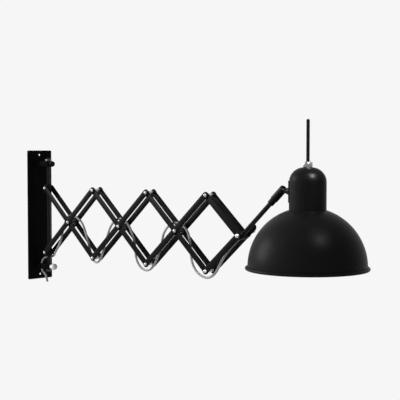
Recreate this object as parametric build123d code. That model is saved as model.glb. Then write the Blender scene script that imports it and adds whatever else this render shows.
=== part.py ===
from build123d import *
from math import asin, atan2, cos, hypot, pi, radians, sin, sqrt, tan
import os

# Accordion wall lamp. All sizes are millimetres.
# Origin: centre of the wall plate's back face. +X points out of the wall along the arm, +Z up.
# The arm's mid plane is y = 0. The lattice has a front half (y < 0) and a back half (y > 0).

# ---- wall plate, lugs and guide rod ----
PLATE_WIDTH = 65.0
PLATE_HEIGHT = 290.0
PLATE_THICKNESS = 3.0
PLATE_CORNER = 3.0
WALL_HOLE_DIAMETER = 5.0
WALL_HOLE_INSET = 10.0
LUG_SPACING = 230.0
LUG_HEIGHT = 12.0
LUG_WIDTH = 24.0
LUG_NOSE_RADIUS = 8.0
LUG_EDGE_ROUND = 1.0
CABLE_HOLE_DIAMETER = 6.4
CABLE_HOLE_X = 16.0
CABLE_HOLE_Y = -6.0
ROD_X = 35.0
ROD_DIAMETER = 8.0
ROD_THREAD_END = 2.0
ROD_CHAMFER = 0.5
ROD_NUT_FLATS = 13.0
ROD_NUT_HEIGHT = 5.0

# ---- thumb screws in the lugs ----
KNOB_SCREW_DIAMETER = 5.0
TOP_KNOB_DIAMETER = 13.0
BOTTOM_KNOB_DIAMETER = 14.5
BOTTOM_KNOB_STEM = 4.0
KNOB_COLLAR_DIAMETER = 9.8
KNOB_FLAT_DEPTH = 1.0
LUG_TO_KNOB_GAP = 0.3

# ---- lattice ----
LINK_LENGTH = 222.0
LATTICE_HEIGHT = 144.0
LOWER_PIVOT_Z = -83.0
BAR_WIDTH = 12.8
BAR_THICKNESS = 1.4
BAR_GAP = 0.3
INNER_FACE_Y = 9.0
END_BAR_TAIL = 24.0
DIAMONDS = 3

# ---- pivots ----
BOLT_DIAMETER = 4.0
BOLT_HEAD_DIAMETER = 7.2
BOLT_HEAD_HEIGHT = 2.9
BOLT_TIP = 1.0
PIVOT_NUT_FLATS = 7.0
PIVOT_NUT_HEIGHT = 4.0
SPACER_DIAMETER = 6.5
SPOOL_DIAMETER = 12.4
SPOOL_WAIST_DIAMETER = 10.4
SPOOL_FLANGE = 2.4
RUNNING_CLEARANCE = 0.08
SIDE_GAP = 0.3
CUT_PAST = 2.0

# ---- sleeves on the guide rod ----
SLEEVE_DIAMETER = 14.0
SLEEVE_HEIGHT = 18.0
TRUNNION_DIAMETER = 9.0
TRUNNION_SCREW_DEPTH = 4.0

# ---- hub and tube that carry the lamp head ----
HUB_DIAMETER = 15.0
HUB_EDGE_ROUND = 0.6
END_BOLT_DIAMETER = 5.0
ACORN_DIAMETER = 8.4
ACORN_HEIGHT = 5.6
ACORN_RIM_HEIGHT = 2.0
END_BOLT_TIP = 2.0
TUBE_ANGLE = 41.7
TUBE_DIAMETER = 8.6
TUBE_WALL = 1.0
TUBE_SEAT_DEPTH = 3.5
COLLAR_START = 92.0
COLLAR_DIAMETER = 12.4
COLLAR_LENGTH = 10.3
COLLAR_CHAMFER = 0.5
CABLE_INLET_DIAMETER = 6.0
CABLE_INLET_DEPTH = 3.2
WING_HUB_DIAMETER = 10.0
WING_HUB_HEIGHT = 7.0
WING_HUB_CHAMFER = 1.0
WING_SPAN = 29.0
WING_THICKNESS = 2.4
WING_TIP_RADIUS = 4.2
WING_ROOT_RADIUS = 2.9
WING_ROOT_X = 2.5
WING_RISE = 8.5
WING_ANGLE = 36.0

# ---- ball joint ----
BALL_DISTANCE = 127.5
BALL_DIAMETER = 11.0
SOCKET_DIAMETER = 14.4
SOCKET_GAP = 0.3
SOCKET_END = 8.0
SOCKET_CHAMFER = 1.2
SOCKET_BACK_CHAMFER = 1.0
SOCKET_MOUTH_DIAMETER = 9.2
SOCKET_SPIGOT_DIAMETER = 6.0
SOCKET_SPIGOT_LENGTH = 9.0
STUD_DIAMETER = 8.8
STUD_SLOT_CLEARANCE = 0.4
STUD_SLOT_FLOOR = -2.2
STUD_FLARE_START = 11.2
STUD_FLARE_END = 15.0
STUD_FOOT_DIAMETER = 15.0
STUD_FOOT_EDGE = 1.0
STUD_PIN_DIAMETER = 5.0
STUD_RIVET_DIAMETER = 9.0
STUD_RIVET_TIP_DIAMETER = 4.5
STUD_RIVET_HEIGHT = 1.6

# ---- lamp shade ----
SHADE_AXIS_OFFSET = 59.3
NECK_RADIUS = 32.6
NECK_CROWN_ROUND = 26.0
CROWN_Z = 116.5
NECK_SKIRT = 3.0
SHEET = 1.0
DOME_RADIUS = 104.3
DOME_CENTRE_Z = -56.8
RIM_STEP = 4.4
BEAD_DIAMETER = 6.0
BEAD_DROP = 2.3
SADDLE_THICKNESS = 1.4
SADDLE_HEIGHT = 38.0
SADDLE_HALF_ANGLE = 50.0
SADDLE_CORNER = 5.0
SADDLE_SCREW_DIAMETER = 4.0
SADDLE_SCREW_HEAD = 6.4
SADDLE_SCREW_HEAD_HEIGHT = 1.8
SADDLE_SCREW_REACH = 4.0
SADDLE_SCREW_EDGE = 8.0

# ---- crown nut, handle rod, lampholder and bulb ----
HANDLE_DIAMETER = 6.0
HANDLE_TOP_Z = 200.2
HANDLE_TIP_ROUND = 1.8
CROWN_NUT_FLATS = 15.4
CROWN_NUT_HEIGHT = 10.5
CROWN_NUT_TAPER = 2.2
HOLDER_DIAMETER = 40.0
HOLDER_LENGTH = 48.0
HOLDER_SHOULDER_ROUND = 8.0
HOLDER_STEM_DIAMETER = 11.6
HOLDER_STEM_LENGTH = 9.0
HOLDER_SKIRT_FLANGE = 3.0
HOLDER_FLANGE_HEIGHT = 5.0
HOLDER_BORE = 28.0
BULB_CAP_DIAMETER = 26.4
BULB_CAP_HEIGHT = 25.0
BULB_CONTACT_HEIGHT = 4.0
BULB_CONTACT_DIAMETER = 13.2
BULB_NECK_RADIUS = 12.6
BULB_RADIUS = 30.0
BULB_LENGTH = 80.0
BULB_GLASS = 0.8

# ---- cable ----
CABLE_DIAMETER = 4.8
ARC_SHARE = 0.45

# ---- derived places ----
LINK_ANGLE = asin(LATTICE_HEIGHT / LINK_LENGTH)
HALF_PITCH = LINK_LENGTH * cos(LINK_ANGLE) / 2
WALL_HOLE_SPACING = PLATE_HEIGHT - 2 * WALL_HOLE_INSET
RIM_RADIUS = DOME_RADIUS + RIM_STEP
UPPER_PIVOT_Z = LOWER_PIVOT_Z + LATTICE_HEIGHT
MIDDLE_PIVOT_Z = LOWER_PIVOT_Z + LATTICE_HEIGHT / 2
INNER_BACK_Y = INNER_FACE_Y + BAR_THICKNESS
OUTER_FACE_Y = INNER_BACK_Y + BAR_GAP
OUTER_BACK_Y = OUTER_FACE_Y + BAR_THICKNESS
HUB_X = ROD_X + (2 * DIAMONDS + 1) * HALF_PITCH
HUB_Z = MIDDLE_PIVOT_Z
TUBE_DIRECTION = Vector(cos(radians(TUBE_ANGLE)), 0, sin(radians(TUBE_ANGLE)))
BALL_CENTRE = Vector(HUB_X, 0, HUB_Z) + TUBE_DIRECTION * BALL_DISTANCE
SHADE_X = BALL_CENTRE.X + SHADE_AXIS_OFFSET
SPACER_HALF = INNER_FACE_Y - SIDE_GAP


def rod_along(start, end, radius):
    """Round bar between two points."""
    axis = end - start
    plane = Plane(origin=start, z_dir=axis)
    return extrude(plane * Circle(radius), amount=axis.length)


def across(x, z, y_from, y_to, radius):
    """Round bar across the arm, from y_from to y_to."""
    return rod_along(Vector(x, y_from, z), Vector(x, y_to, z), radius)


def hexagon(origin, direction, flats, height):
    """Hexagonal prism that starts at origin and rises along direction."""
    plane = Plane(origin=origin, z_dir=direction)
    outline = RegularPolygon(radius=flats / 2, side_count=6, major_radius=False)
    return extrude(plane * outline, amount=height)


def dome_head(origin, direction, radius, height):
    """Round-topped head that sits on origin and rises along direction."""
    ball_radius = (radius**2 + height**2) / (2 * height)
    barrel = Pos(0, 0, height / 2) * Cylinder(radius, height)
    ball = Pos(0, 0, height - ball_radius) * Sphere(ball_radius)
    return Plane(origin=origin, z_dir=direction).location * (barrel & ball)


def save(name, shape):
    """Write one named piece."""
    export_step(shape, f"parts/{name}.step")


def node(index, level):
    """Pivot place on the lattice: index counts half pitches out from the guide rod."""
    heights = {"top": UPPER_PIVOT_Z, "middle": MIDDLE_PIVOT_Z, "bottom": LOWER_PIVOT_Z}
    return (ROD_X + index * HALF_PITCH, heights[level])


# ---------------------------------------------------------------- wall fixture
def wall_plate():
    """Plate with rounded corners and two screw holes."""
    face = Plane.YZ * RectangleRounded(PLATE_WIDTH, PLATE_HEIGHT, PLATE_CORNER)
    plate = extrude(face, amount=PLATE_THICKNESS)
    for side in (-1, 1):
        centre = Vector(-CUT_PAST, 0, side * WALL_HOLE_SPACING / 2)
        through = Vector(PLATE_THICKNESS + 2 * CUT_PAST, 0, 0)
        plate -= rod_along(centre, centre + through, WALL_HOLE_DIAMETER / 2)
    return plate


def rod_lug(z_centre):
    """Lug that stands off the plate and holds one end of the guide rod."""
    shoulder_x = ROD_X - LUG_NOSE_RADIUS
    tongue = Polygon(
        (PLATE_THICKNESS, -LUG_WIDTH / 2),
        (shoulder_x, -LUG_WIDTH / 2),
        (ROD_X, -LUG_NOSE_RADIUS),
        (ROD_X, LUG_NOSE_RADIUS),
        (shoulder_x, LUG_WIDTH / 2),
        (PLATE_THICKNESS, LUG_WIDTH / 2),
        align=None,
    )
    outline = tongue + Pos(ROD_X, 0) * Circle(LUG_NOSE_RADIUS)
    base = Plane.XY.offset(z_centre - LUG_HEIGHT / 2)
    lug = extrude(base * outline, amount=LUG_HEIGHT)
    lug = fillet(lug.edges().filter_by(Axis.X), LUG_EDGE_ROUND)
    low = Vector(ROD_X, 0, z_centre - LUG_HEIGHT)
    lug -= rod_along(low, low + Vector(0, 0, 2 * LUG_HEIGHT), ROD_DIAMETER / 2)
    screw_start = Vector(ROD_X, 0, z_centre)
    out = Vector(LUG_NOSE_RADIUS + CUT_PAST, 0, 0)
    return lug - rod_along(screw_start, screw_start + out, screw_hole_radius())


def screw_hole_radius():
    """Radius of the hole that a thumb screw turns in."""
    return KNOB_SCREW_DIAMETER / 2 + RUNNING_CLEARANCE


def cable_hole():
    """Cutter for the hole that the cable passes through in the lower lug."""
    low = Vector(CABLE_HOLE_X, CABLE_HOLE_Y, -LUG_SPACING / 2 - LUG_HEIGHT)
    return rod_along(low, low + Vector(0, 0, 2 * LUG_HEIGHT), CABLE_HOLE_DIAMETER / 2)


def rod_lugs():
    """Pair of lugs; the lower one has the hole that the cable passes through."""
    return Compound(children=[rod_lug(LUG_SPACING / 2), rod_lug(-LUG_SPACING / 2) - cable_hole()])


def guide_rod():
    """Rod that runs through both lugs and carries the two sleeves."""
    half = LUG_SPACING / 2 + LUG_HEIGHT / 2 + ROD_NUT_HEIGHT + ROD_THREAD_END
    rod = rod_along(Vector(ROD_X, 0, -half), Vector(ROD_X, 0, half), ROD_DIAMETER / 2)
    return chamfer(rod.edges().filter_by(GeomType.CIRCLE), ROD_CHAMFER)


def rod_nuts():
    """Two nuts that hold the guide rod in its lugs."""
    seat = LUG_SPACING / 2 + LUG_HEIGHT / 2
    nuts = []
    for side in (-1, 1):
        start = Vector(ROD_X, 0, side * seat)
        nut = hexagon(start, (0, 0, side), ROD_NUT_FLATS, ROD_NUT_HEIGHT)
        nuts.append(nut - rod_along(start, start + Vector(0, 0, side * ROD_NUT_HEIGHT), ROD_DIAMETER / 2))
    return Compound(children=nuts)


def knob(z_centre, diameter, stem):
    """Ball knob with a screw that runs through the lug's nose to the guide rod."""
    seat_x = ROD_X + LUG_NOSE_RADIUS + LUG_TO_KNOB_GAP
    ball_x = seat_x + stem + diameter / 2 - KNOB_FLAT_DEPTH
    ball = Pos(ball_x, 0, z_centre) * Sphere(diameter / 2)
    flat_x = seat_x + stem
    cutter = Pos(flat_x - diameter / 2, 0, z_centre) * Box(diameter, diameter, diameter)
    tip = Vector(ROD_X + ROD_DIAMETER / 2 + SIDE_GAP, 0, z_centre)
    screw = rod_along(tip, Vector(ball_x, 0, z_centre), KNOB_SCREW_DIAMETER / 2)
    collar = rod_along(Vector(seat_x, 0, z_centre), Vector(ball_x, 0, z_centre), KNOB_COLLAR_DIAMETER / 2)
    shape = (ball - cutter) + screw
    return shape + collar if stem > 0 else shape


# ---------------------------------------------------------------- lattice bars
def flat_bar(start, end, y_low, holes, tail=0.0):
    """Flat bar with round ends, from one pivot to another, with its pivot holes."""
    run = Vector(end[0] - start[0], 0, end[1] - start[1])
    unit = run.normalized()
    length = run.length + tail
    centre = Vector(start[0], y_low, start[1]) + unit * (length / 2)
    plane = Plane(origin=centre, x_dir=unit, z_dir=(0, 1, 0))
    bar = extrude(plane * SlotCenterToCenter(length, BAR_WIDTH), amount=BAR_THICKNESS)
    for (x, z), radius in holes:
        bar -= across(x, z, y_low - CUT_PAST, y_low + BAR_THICKNESS + CUT_PAST, radius)
    return bar


def bar_pair(start, end, face_y, holes, tail=0.0):
    """Front and back bar of one link. Only the back bar carries the tail."""
    front = flat_bar(start, end, -face_y - BAR_THICKNESS, holes)
    back = flat_bar(start, end, face_y, holes, tail)
    return front, back


TIGHT = BOLT_DIAMETER / 2
LOOSE = BOLT_DIAMETER / 2 + RUNNING_CLEARANCE
END_TIGHT = END_BOLT_DIAMETER / 2
END_LOOSE = END_BOLT_DIAMETER / 2 + RUNNING_CLEARANCE


def rise_link_bars(number):
    """Rising link: outer bars, whose own bolts hold it to the falling links."""
    start = node(2 * number - 2, "bottom")
    start_radius = LOOSE if number == 1 else TIGHT
    middle = node(2 * number - 1, "middle")
    if number > DIAMONDS:
        holes = [(start, start_radius), (middle, END_TIGHT)]
        return bar_pair(start, middle, OUTER_FACE_Y, holes, END_BAR_TAIL)
    end = node(2 * number, "top")
    holes = [(start, start_radius), (middle, TIGHT), (end, TIGHT)]
    return bar_pair(start, end, OUTER_FACE_Y, holes)


def fall_link_bars(number):
    """Falling link: inner bars, which turn on the bolts of the rising links."""
    start = node(2 * number - 2, "top")
    middle = node(2 * number - 1, "middle")
    if number > DIAMONDS:
        return bar_pair(start, middle, INNER_FACE_Y, [(start, LOOSE), (middle, END_LOOSE)])
    end = node(2 * number, "bottom")
    return bar_pair(start, end, INNER_FACE_Y, [(start, LOOSE), (middle, LOOSE), (end, LOOSE)])


def pivot_places(number):
    """Pivots whose bolts belong to one rising link, with what sits between the bars."""
    places = []
    if number > 1:
        places.append((node(2 * number - 2, "bottom"), "spacer"))
    if number <= DIAMONDS:
        places.append((node(2 * number - 1, "middle"), "spool"))
        places.append((node(2 * number, "top"), "spacer"))
    return places


def pivot_bolt(x, z):
    """Round-headed bolt from the front bar through to the nut."""
    tip_y = OUTER_BACK_Y + PIVOT_NUT_HEIGHT + BOLT_TIP
    shank = across(x, z, -OUTER_BACK_Y, tip_y, TIGHT)
    head = dome_head((x, -OUTER_BACK_Y, z), (0, -1, 0), BOLT_HEAD_DIAMETER / 2, BOLT_HEAD_HEIGHT)
    return shank + head


def pivot_nut(x, z):
    """Hexagon nut behind the back bar."""
    nut = hexagon((x, OUTER_BACK_Y, z), (0, 1, 0), PIVOT_NUT_FLATS, PIVOT_NUT_HEIGHT)
    return nut - across(x, z, OUTER_BACK_Y, OUTER_BACK_Y + PIVOT_NUT_HEIGHT, TIGHT)


def pivot_spacer(x, z):
    """Tube that keeps the inner bars apart."""
    tube = across(x, z, -SPACER_HALF, SPACER_HALF, SPACER_DIAMETER / 2)
    return tube - across(x, z, -SPACER_HALF, SPACER_HALF, TIGHT)


def cable_spool(x, z):
    """Waisted bush between the middle pivots, which the cable passes over."""
    spool = across(x, z, -SPACER_HALF, SPACER_HALF, SPOOL_WAIST_DIAMETER / 2)
    for side in (-1, 1):
        inner = side * (SPACER_HALF - SPOOL_FLANGE)
        spool += across(x, z, inner, side * SPACER_HALF, SPOOL_DIAMETER / 2)
    return spool - across(x, z, -SPACER_HALF, SPACER_HALF, TIGHT)


# ---------------------------------------------------------------- sleeves on the rod
def sleeve(pivot_z, boss_half):
    """Sleeve that turns or slides on the guide rod, with a boss for each link bar."""
    low = Vector(ROD_X, 0, pivot_z - SLEEVE_HEIGHT / 2)
    high = Vector(ROD_X, 0, pivot_z + SLEEVE_HEIGHT / 2)
    body = rod_along(low, high, SLEEVE_DIAMETER / 2)
    body += across(ROD_X, pivot_z, -boss_half, boss_half, TRUNNION_DIAMETER / 2)
    body -= rod_along(low, high, ROD_DIAMETER / 2 + RUNNING_CLEARANCE)
    for side in (-1, 1):
        body -= across(ROD_X, pivot_z, side * (boss_half - TRUNNION_SCREW_DEPTH), side * boss_half, TIGHT)
    return body


def sleeve_screws(pivot_z, boss_half, bar_back_y):
    """Pair of round-headed screws that hold the link bars to a sleeve's bosses."""
    screws = []
    for side in (-1, 1):
        seat = side * (bar_back_y + SIDE_GAP)
        shank = across(ROD_X, pivot_z, side * (boss_half - TRUNNION_SCREW_DEPTH), seat, TIGHT)
        head = dome_head((ROD_X, seat, pivot_z), (0, side, 0), BOLT_HEAD_DIAMETER / 2, BOLT_HEAD_HEIGHT)
        screws.append(shank + head)
    return Compound(children=screws)


# ---------------------------------------------------------------- hub, tube and wing nut
def tube_point(distance, offset=0.0):
    """Point on the tube's axis, at a distance from the hub's centre."""
    return Vector(HUB_X, offset, HUB_Z) + TUBE_DIRECTION * distance


def arm_hub():
    """Drum between the last bars, bored for its bolt, the tube and the cable."""
    hub = across(HUB_X, HUB_Z, -SPACER_HALF, SPACER_HALF, HUB_DIAMETER / 2)
    hub = fillet(hub.edges().filter_by(GeomType.CIRCLE), HUB_EDGE_ROUND)
    hub -= across(HUB_X, HUB_Z, -SPACER_HALF, SPACER_HALF, END_LOOSE)
    seat = HUB_DIAMETER / 2 - TUBE_SEAT_DEPTH
    hub -= rod_along(tube_point(seat), tube_point(HUB_DIAMETER), TUBE_DIAMETER / 2)
    inlet = HUB_DIAMETER / 2 - CABLE_INLET_DEPTH
    return hub - rod_along(tube_point(-inlet), tube_point(-HUB_DIAMETER), CABLE_INLET_DIAMETER / 2)


def arm_tube():
    """Tube with a collar brazed on its end, in whose bore the socket's spigot turns."""
    start = tube_point(HUB_DIAMETER / 2 - TUBE_SEAT_DEPTH)
    end = tube_point(COLLAR_START)
    tube = rod_along(start, end, TUBE_DIAMETER / 2)
    tube -= rod_along(start, end, TUBE_DIAMETER / 2 - TUBE_WALL)
    collar_end = tube_point(COLLAR_START + COLLAR_LENGTH)
    collar = rod_along(end, collar_end, COLLAR_DIAMETER / 2)
    collar = chamfer(collar.edges().filter_by(GeomType.CIRCLE), COLLAR_CHAMFER)
    return tube + collar - rod_along(end, collar_end, SOCKET_SPIGOT_DIAMETER / 2 + RUNNING_CLEARANCE)


def end_bolt():
    """Bolt at the lattice's end: acorn head in front, thread for the wing nut behind."""
    tip_y = OUTER_BACK_Y + WING_HUB_HEIGHT + END_BOLT_TIP
    shank = across(HUB_X, HUB_Z, -OUTER_BACK_Y, tip_y, END_TIGHT)
    rim = across(HUB_X, HUB_Z, -OUTER_BACK_Y - ACORN_RIM_HEIGHT, -OUTER_BACK_Y, ACORN_DIAMETER / 2)
    dome_y = -OUTER_BACK_Y - ACORN_RIM_HEIGHT
    dome_height = ACORN_HEIGHT - ACORN_RIM_HEIGHT
    dome = dome_head((HUB_X, dome_y, HUB_Z), (0, -1, 0), ACORN_DIAMETER / 2, dome_height)
    return shank + rim + dome


def wing_nut():
    """Two-winged nut on the back of the end bolt."""
    seat_y = OUTER_BACK_Y + SIDE_GAP
    barrel = Pos(0, 0, WING_HUB_HEIGHT / 2) * Cylinder(WING_HUB_DIAMETER / 2, WING_HUB_HEIGHT)
    nut = chamfer(barrel.edges().group_by(Axis.Z)[-1], WING_HUB_CHAMFER)
    tip_x = WING_SPAN / 2 - WING_TIP_RADIUS
    root = Pos(WING_ROOT_X, WING_HUB_HEIGHT / 2) * Circle(WING_ROOT_RADIUS)
    tip = Pos(tip_x, WING_RISE) * Circle(WING_TIP_RADIUS)
    outline = make_hull(root.edges() + tip.edges())
    for turn in (0, 180):
        plane = Plane.XZ.offset(-WING_THICKNESS / 2)
        nut += Rot(0, 0, turn) * extrude(plane * outline, amount=WING_THICKNESS)
    bore = Cylinder(END_LOOSE, 2 * (WING_HUB_HEIGHT + CUT_PAST))
    wing_line = (cos(radians(WING_ANGLE)), 0, sin(radians(WING_ANGLE)))
    place = Plane(origin=(HUB_X, seat_y, HUB_Z), x_dir=wing_line, z_dir=(0, 1, 0))
    return place.location * (nut - bore)


# ---------------------------------------------------------------- ball joint
def socket_plane():
    """Ball-centred plane: its z runs along the tube, its x towards the stud's slot."""
    side = Vector(sin(radians(TUBE_ANGLE)), 0, -cos(radians(TUBE_ANGLE)))
    return Plane(origin=BALL_CENTRE, x_dir=side, z_dir=TUBE_DIRECTION)


def ball_socket():
    """Socket that holds the ball, with a slot that lets the stud tilt sideways."""
    back = COLLAR_START + COLLAR_LENGTH + SOCKET_GAP - BALL_DISTANCE
    length = SOCKET_END - back
    body = Pos(0, 0, back + length / 2) * Cylinder(SOCKET_DIAMETER / 2, length)
    body = chamfer(body.edges().group_by(Axis.Z)[-1], SOCKET_CHAMFER)
    body = chamfer(body.edges().group_by(Axis.Z)[0], SOCKET_BACK_CHAMFER)
    spigot = Pos(0, 0, back - SOCKET_SPIGOT_LENGTH / 2)
    body += spigot * Cylinder(SOCKET_SPIGOT_DIAMETER / 2, SOCKET_SPIGOT_LENGTH)
    body -= Sphere(BALL_DIAMETER / 2 + RUNNING_CLEARANCE)
    body -= Pos(0, 0, SOCKET_END / 2) * Cylinder(SOCKET_MOUTH_DIAMETER / 2, SOCKET_END)
    width = STUD_DIAMETER + 2 * STUD_SLOT_CLEARANCE
    height = SOCKET_END - STUD_SLOT_FLOOR
    slot = Pos(SOCKET_DIAMETER / 2, 0, STUD_SLOT_FLOOR + height / 2)
    body -= slot * Box(SOCKET_DIAMETER, width, height)
    return socket_plane().location * body


def stud_reach():
    """Distance from the ball's centre to the saddle plate's outer face."""
    return SHADE_AXIS_OFFSET - NECK_RADIUS - SADDLE_THICKNESS


def ball_stud():
    """Ball, stud and flared foot, riveted through the saddle plate and the neck."""
    foot = stud_reach() - RUNNING_CLEARANCE
    bore_radius = NECK_RADIUS - SHEET
    wall_curve = bore_radius - sqrt(bore_radius**2 - (STUD_RIVET_DIAMETER / 2) ** 2)
    inner = SHADE_AXIS_OFFSET - bore_radius + wall_curve
    profile = Polyline(
        (0, 0),
        (0, STUD_DIAMETER / 2),
        (STUD_FLARE_START, STUD_DIAMETER / 2),
        (STUD_FLARE_END, STUD_FOOT_DIAMETER / 2 - STUD_FOOT_EDGE),
        (foot - STUD_FOOT_EDGE, STUD_FOOT_DIAMETER / 2),
        (foot, STUD_FOOT_DIAMETER / 2),
        (foot, STUD_PIN_DIAMETER / 2),
        (inner + RUNNING_CLEARANCE, STUD_PIN_DIAMETER / 2),
        (inner + RUNNING_CLEARANCE, STUD_RIVET_DIAMETER / 2),
        (inner + STUD_RIVET_HEIGHT, STUD_RIVET_TIP_DIAMETER / 2),
        (inner + STUD_RIVET_HEIGHT, 0),
        close=True,
    )
    stud = revolve(make_face(profile), axis=Axis.X)
    return Pos(*BALL_CENTRE) * (stud + Sphere(BALL_DIAMETER / 2))


# ---------------------------------------------------------------- shade
def turned(profile):
    """Solid of revolution about the shade's axis, from a profile in radius and height."""
    return Pos(SHADE_X, 0, 0) * revolve(Plane.XZ * make_face(profile), axis=Axis.Z)


def stud_hole(radius):
    """Cutter for the stud's hole in the neck and the saddle plate."""
    start = BALL_CENTRE + Vector(stud_reach() - CUT_PAST, 0, 0)
    return rod_along(start, start + Vector(NECK_RADIUS, 0, 0), radius)


def saddle_screw_places():
    """Two screws above and below the stud, on the neck's side."""
    reach = SADDLE_HEIGHT / 2 - SADDLE_SCREW_EDGE
    return [Vector(BALL_CENTRE.X, 0, BALL_CENTRE.Z + side * reach) for side in (-1, 1)]


def saddle_screw_holes():
    """Cutters for the two saddle screws."""
    holes = []
    for place in saddle_screw_places():
        holes.append(rod_along(place, place + Vector(NECK_RADIUS, 0, 0), SADDLE_SCREW_DIAMETER / 2))
    return holes


def dome_top_z():
    """Height where the dome's sheet meets the outside of the neck."""
    return DOME_CENTRE_Z + sqrt(DOME_RADIUS**2 - NECK_RADIUS**2)


def shade_neck():
    """Drawn cup with a rounded crown, whose skirt passes into the dome."""
    bottom = dome_top_z() - NECK_SKIRT
    centre_r = NECK_RADIUS - NECK_CROWN_ROUND
    centre_z = CROWN_Z - NECK_CROWN_ROUND
    inner_round = NECK_CROWN_ROUND - SHEET
    rod_r = HANDLE_DIAMETER / 2
    profile = [
        Line((rod_r, CROWN_Z), (centre_r, CROWN_Z)),
        RadiusArc((centre_r, CROWN_Z), (NECK_RADIUS, centre_z), NECK_CROWN_ROUND),
        Line((NECK_RADIUS, centre_z), (NECK_RADIUS, bottom)),
        Line((NECK_RADIUS, bottom), (NECK_RADIUS - SHEET, bottom)),
        Line((NECK_RADIUS - SHEET, bottom), (NECK_RADIUS - SHEET, centre_z)),
        RadiusArc((NECK_RADIUS - SHEET, centre_z), (centre_r, CROWN_Z - SHEET), -inner_round),
        Line((centre_r, CROWN_Z - SHEET), (rod_r, CROWN_Z - SHEET)),
        Line((rod_r, CROWN_Z - SHEET), (rod_r, CROWN_Z)),
    ]
    neck = turned(profile) - stud_hole(STUD_PIN_DIAMETER / 2 + RUNNING_CLEARANCE)
    for hole in saddle_screw_holes():
        neck -= hole
    return neck


def shade_dome():
    """Spun dome with a rolled rim."""
    inner = DOME_RADIUS - SHEET
    top_outer = (NECK_RADIUS, dome_top_z())
    top_inner = (NECK_RADIUS, DOME_CENTRE_Z + sqrt(inner**2 - NECK_RADIUS**2))
    profile = [
        RadiusArc(top_outer, (DOME_RADIUS, DOME_CENTRE_Z), DOME_RADIUS),
        Line((DOME_RADIUS, DOME_CENTRE_Z), (inner, DOME_CENTRE_Z)),
        RadiusArc((inner, DOME_CENTRE_Z), top_inner, -inner),
        Line(top_inner, top_outer),
    ]
    bead_radius = BEAD_DIAMETER / 2
    bead = Torus(RIM_RADIUS - bead_radius, bead_radius)
    return turned(profile) + Pos(SHADE_X, 0, DOME_CENTRE_Z - BEAD_DROP) * bead


def saddle_plate():
    """Curved plate that spreads the stud's load over the neck."""
    outer = NECK_RADIUS + SADDLE_THICKNESS
    ring = Cylinder(outer, SADDLE_HEIGHT) - Cylinder(NECK_RADIUS, SADDLE_HEIGHT)
    half_width = outer * sin(radians(SADDLE_HALF_ANGLE))
    window = Plane(origin=(0, 0, 0), x_dir=(0, 1, 0), z_dir=(-1, 0, 0))
    outline = window * RectangleRounded(2 * half_width, SADDLE_HEIGHT, SADDLE_CORNER)
    plate = Pos(SHADE_X, 0, BALL_CENTRE.Z) * (ring & extrude(outline, amount=2 * outer))
    plate -= stud_hole(STUD_PIN_DIAMETER / 2 + RUNNING_CLEARANCE)
    for hole in saddle_screw_holes():
        plate -= hole
    return plate


def saddle_screws():
    """Pair of round-headed screws through the saddle plate and the neck."""
    screws = []
    head_x = SHADE_X - NECK_RADIUS - SADDLE_THICKNESS
    for place in saddle_screw_places():
        seat = Vector(head_x, 0, place.Z)
        shank = rod_along(seat, seat + Vector(SADDLE_SCREW_REACH, 0, 0), SADDLE_SCREW_DIAMETER / 2)
        head = dome_head(seat, (-1, 0, 0), SADDLE_SCREW_HEAD / 2, SADDLE_SCREW_HEAD_HEIGHT)
        screws.append(shank + head)
    return Compound(children=screws)


def crown_nut():
    """Hexagon nut with a turned cone on top, which clamps the lampholder to the crown."""
    start = Vector(SHADE_X, 0, CROWN_Z)
    nut = hexagon(start, (0, 0, 1), CROWN_NUT_FLATS, CROWN_NUT_HEIGHT)
    corner = CROWN_NUT_FLATS / sqrt(3)
    cone_low = CROWN_NUT_HEIGHT - CROWN_NUT_TAPER
    envelope = Pos(0, 0, cone_low / 2) * Cylinder(corner, cone_low)
    cone = Cone(corner, corner - CROWN_NUT_TAPER, CROWN_NUT_TAPER)
    envelope += Pos(0, 0, cone_low + CROWN_NUT_TAPER / 2) * cone
    nut = nut & (Pos(*start) * envelope)
    return nut - rod_along(start, start + Vector(0, 0, CROWN_NUT_HEIGHT), HANDLE_DIAMETER / 2)


def holder_top_z():
    """Height of the crown's inner face, which the lampholder's stem stands against."""
    return CROWN_Z - SHEET


def handle_rod():
    """Straight handle rod, screwed through the crown nut into the lampholder's stem."""
    start = Vector(SHADE_X, 0, holder_top_z() - HOLDER_STEM_LENGTH)
    rod = rod_along(start, Vector(SHADE_X, 0, HANDLE_TOP_Z), HANDLE_DIAMETER / 2)
    return fillet(rod.edges().filter_by(GeomType.CIRCLE).sort_by(Axis.Z)[-1], HANDLE_TIP_ROUND)


def lampholder():
    """Screw-cap lampholder with a stem that is clamped under the crown."""
    top = holder_top_z()
    shoulder = top - HOLDER_STEM_LENGTH
    mouth = shoulder - HOLDER_LENGTH
    axis_low = Vector(SHADE_X, 0, mouth)
    body = rod_along(axis_low, Vector(SHADE_X, 0, shoulder), HOLDER_DIAMETER / 2)
    body = fillet(body.edges().filter_by(GeomType.CIRCLE).sort_by(Axis.Z)[-1], HOLDER_SHOULDER_ROUND)
    flange_top = Vector(SHADE_X, 0, mouth + HOLDER_FLANGE_HEIGHT)
    body += rod_along(axis_low, flange_top, HOLDER_DIAMETER / 2 + HOLDER_SKIRT_FLANGE)
    stem_low = Vector(SHADE_X, 0, shoulder - CUT_PAST)
    body += rod_along(stem_low, Vector(SHADE_X, 0, top), HOLDER_STEM_DIAMETER / 2)
    body -= rod_along(axis_low, axis_low + Vector(0, 0, BULB_CAP_HEIGHT), HOLDER_BORE / 2)
    return body - rod_along(Vector(SHADE_X, 0, shoulder), Vector(SHADE_X, 0, top), HANDLE_DIAMETER / 2)


def bulb_seat_z():
    """Height where the bulb's glass leaves its metal cap."""
    return holder_top_z() - HOLDER_STEM_LENGTH - HOLDER_LENGTH


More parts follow.
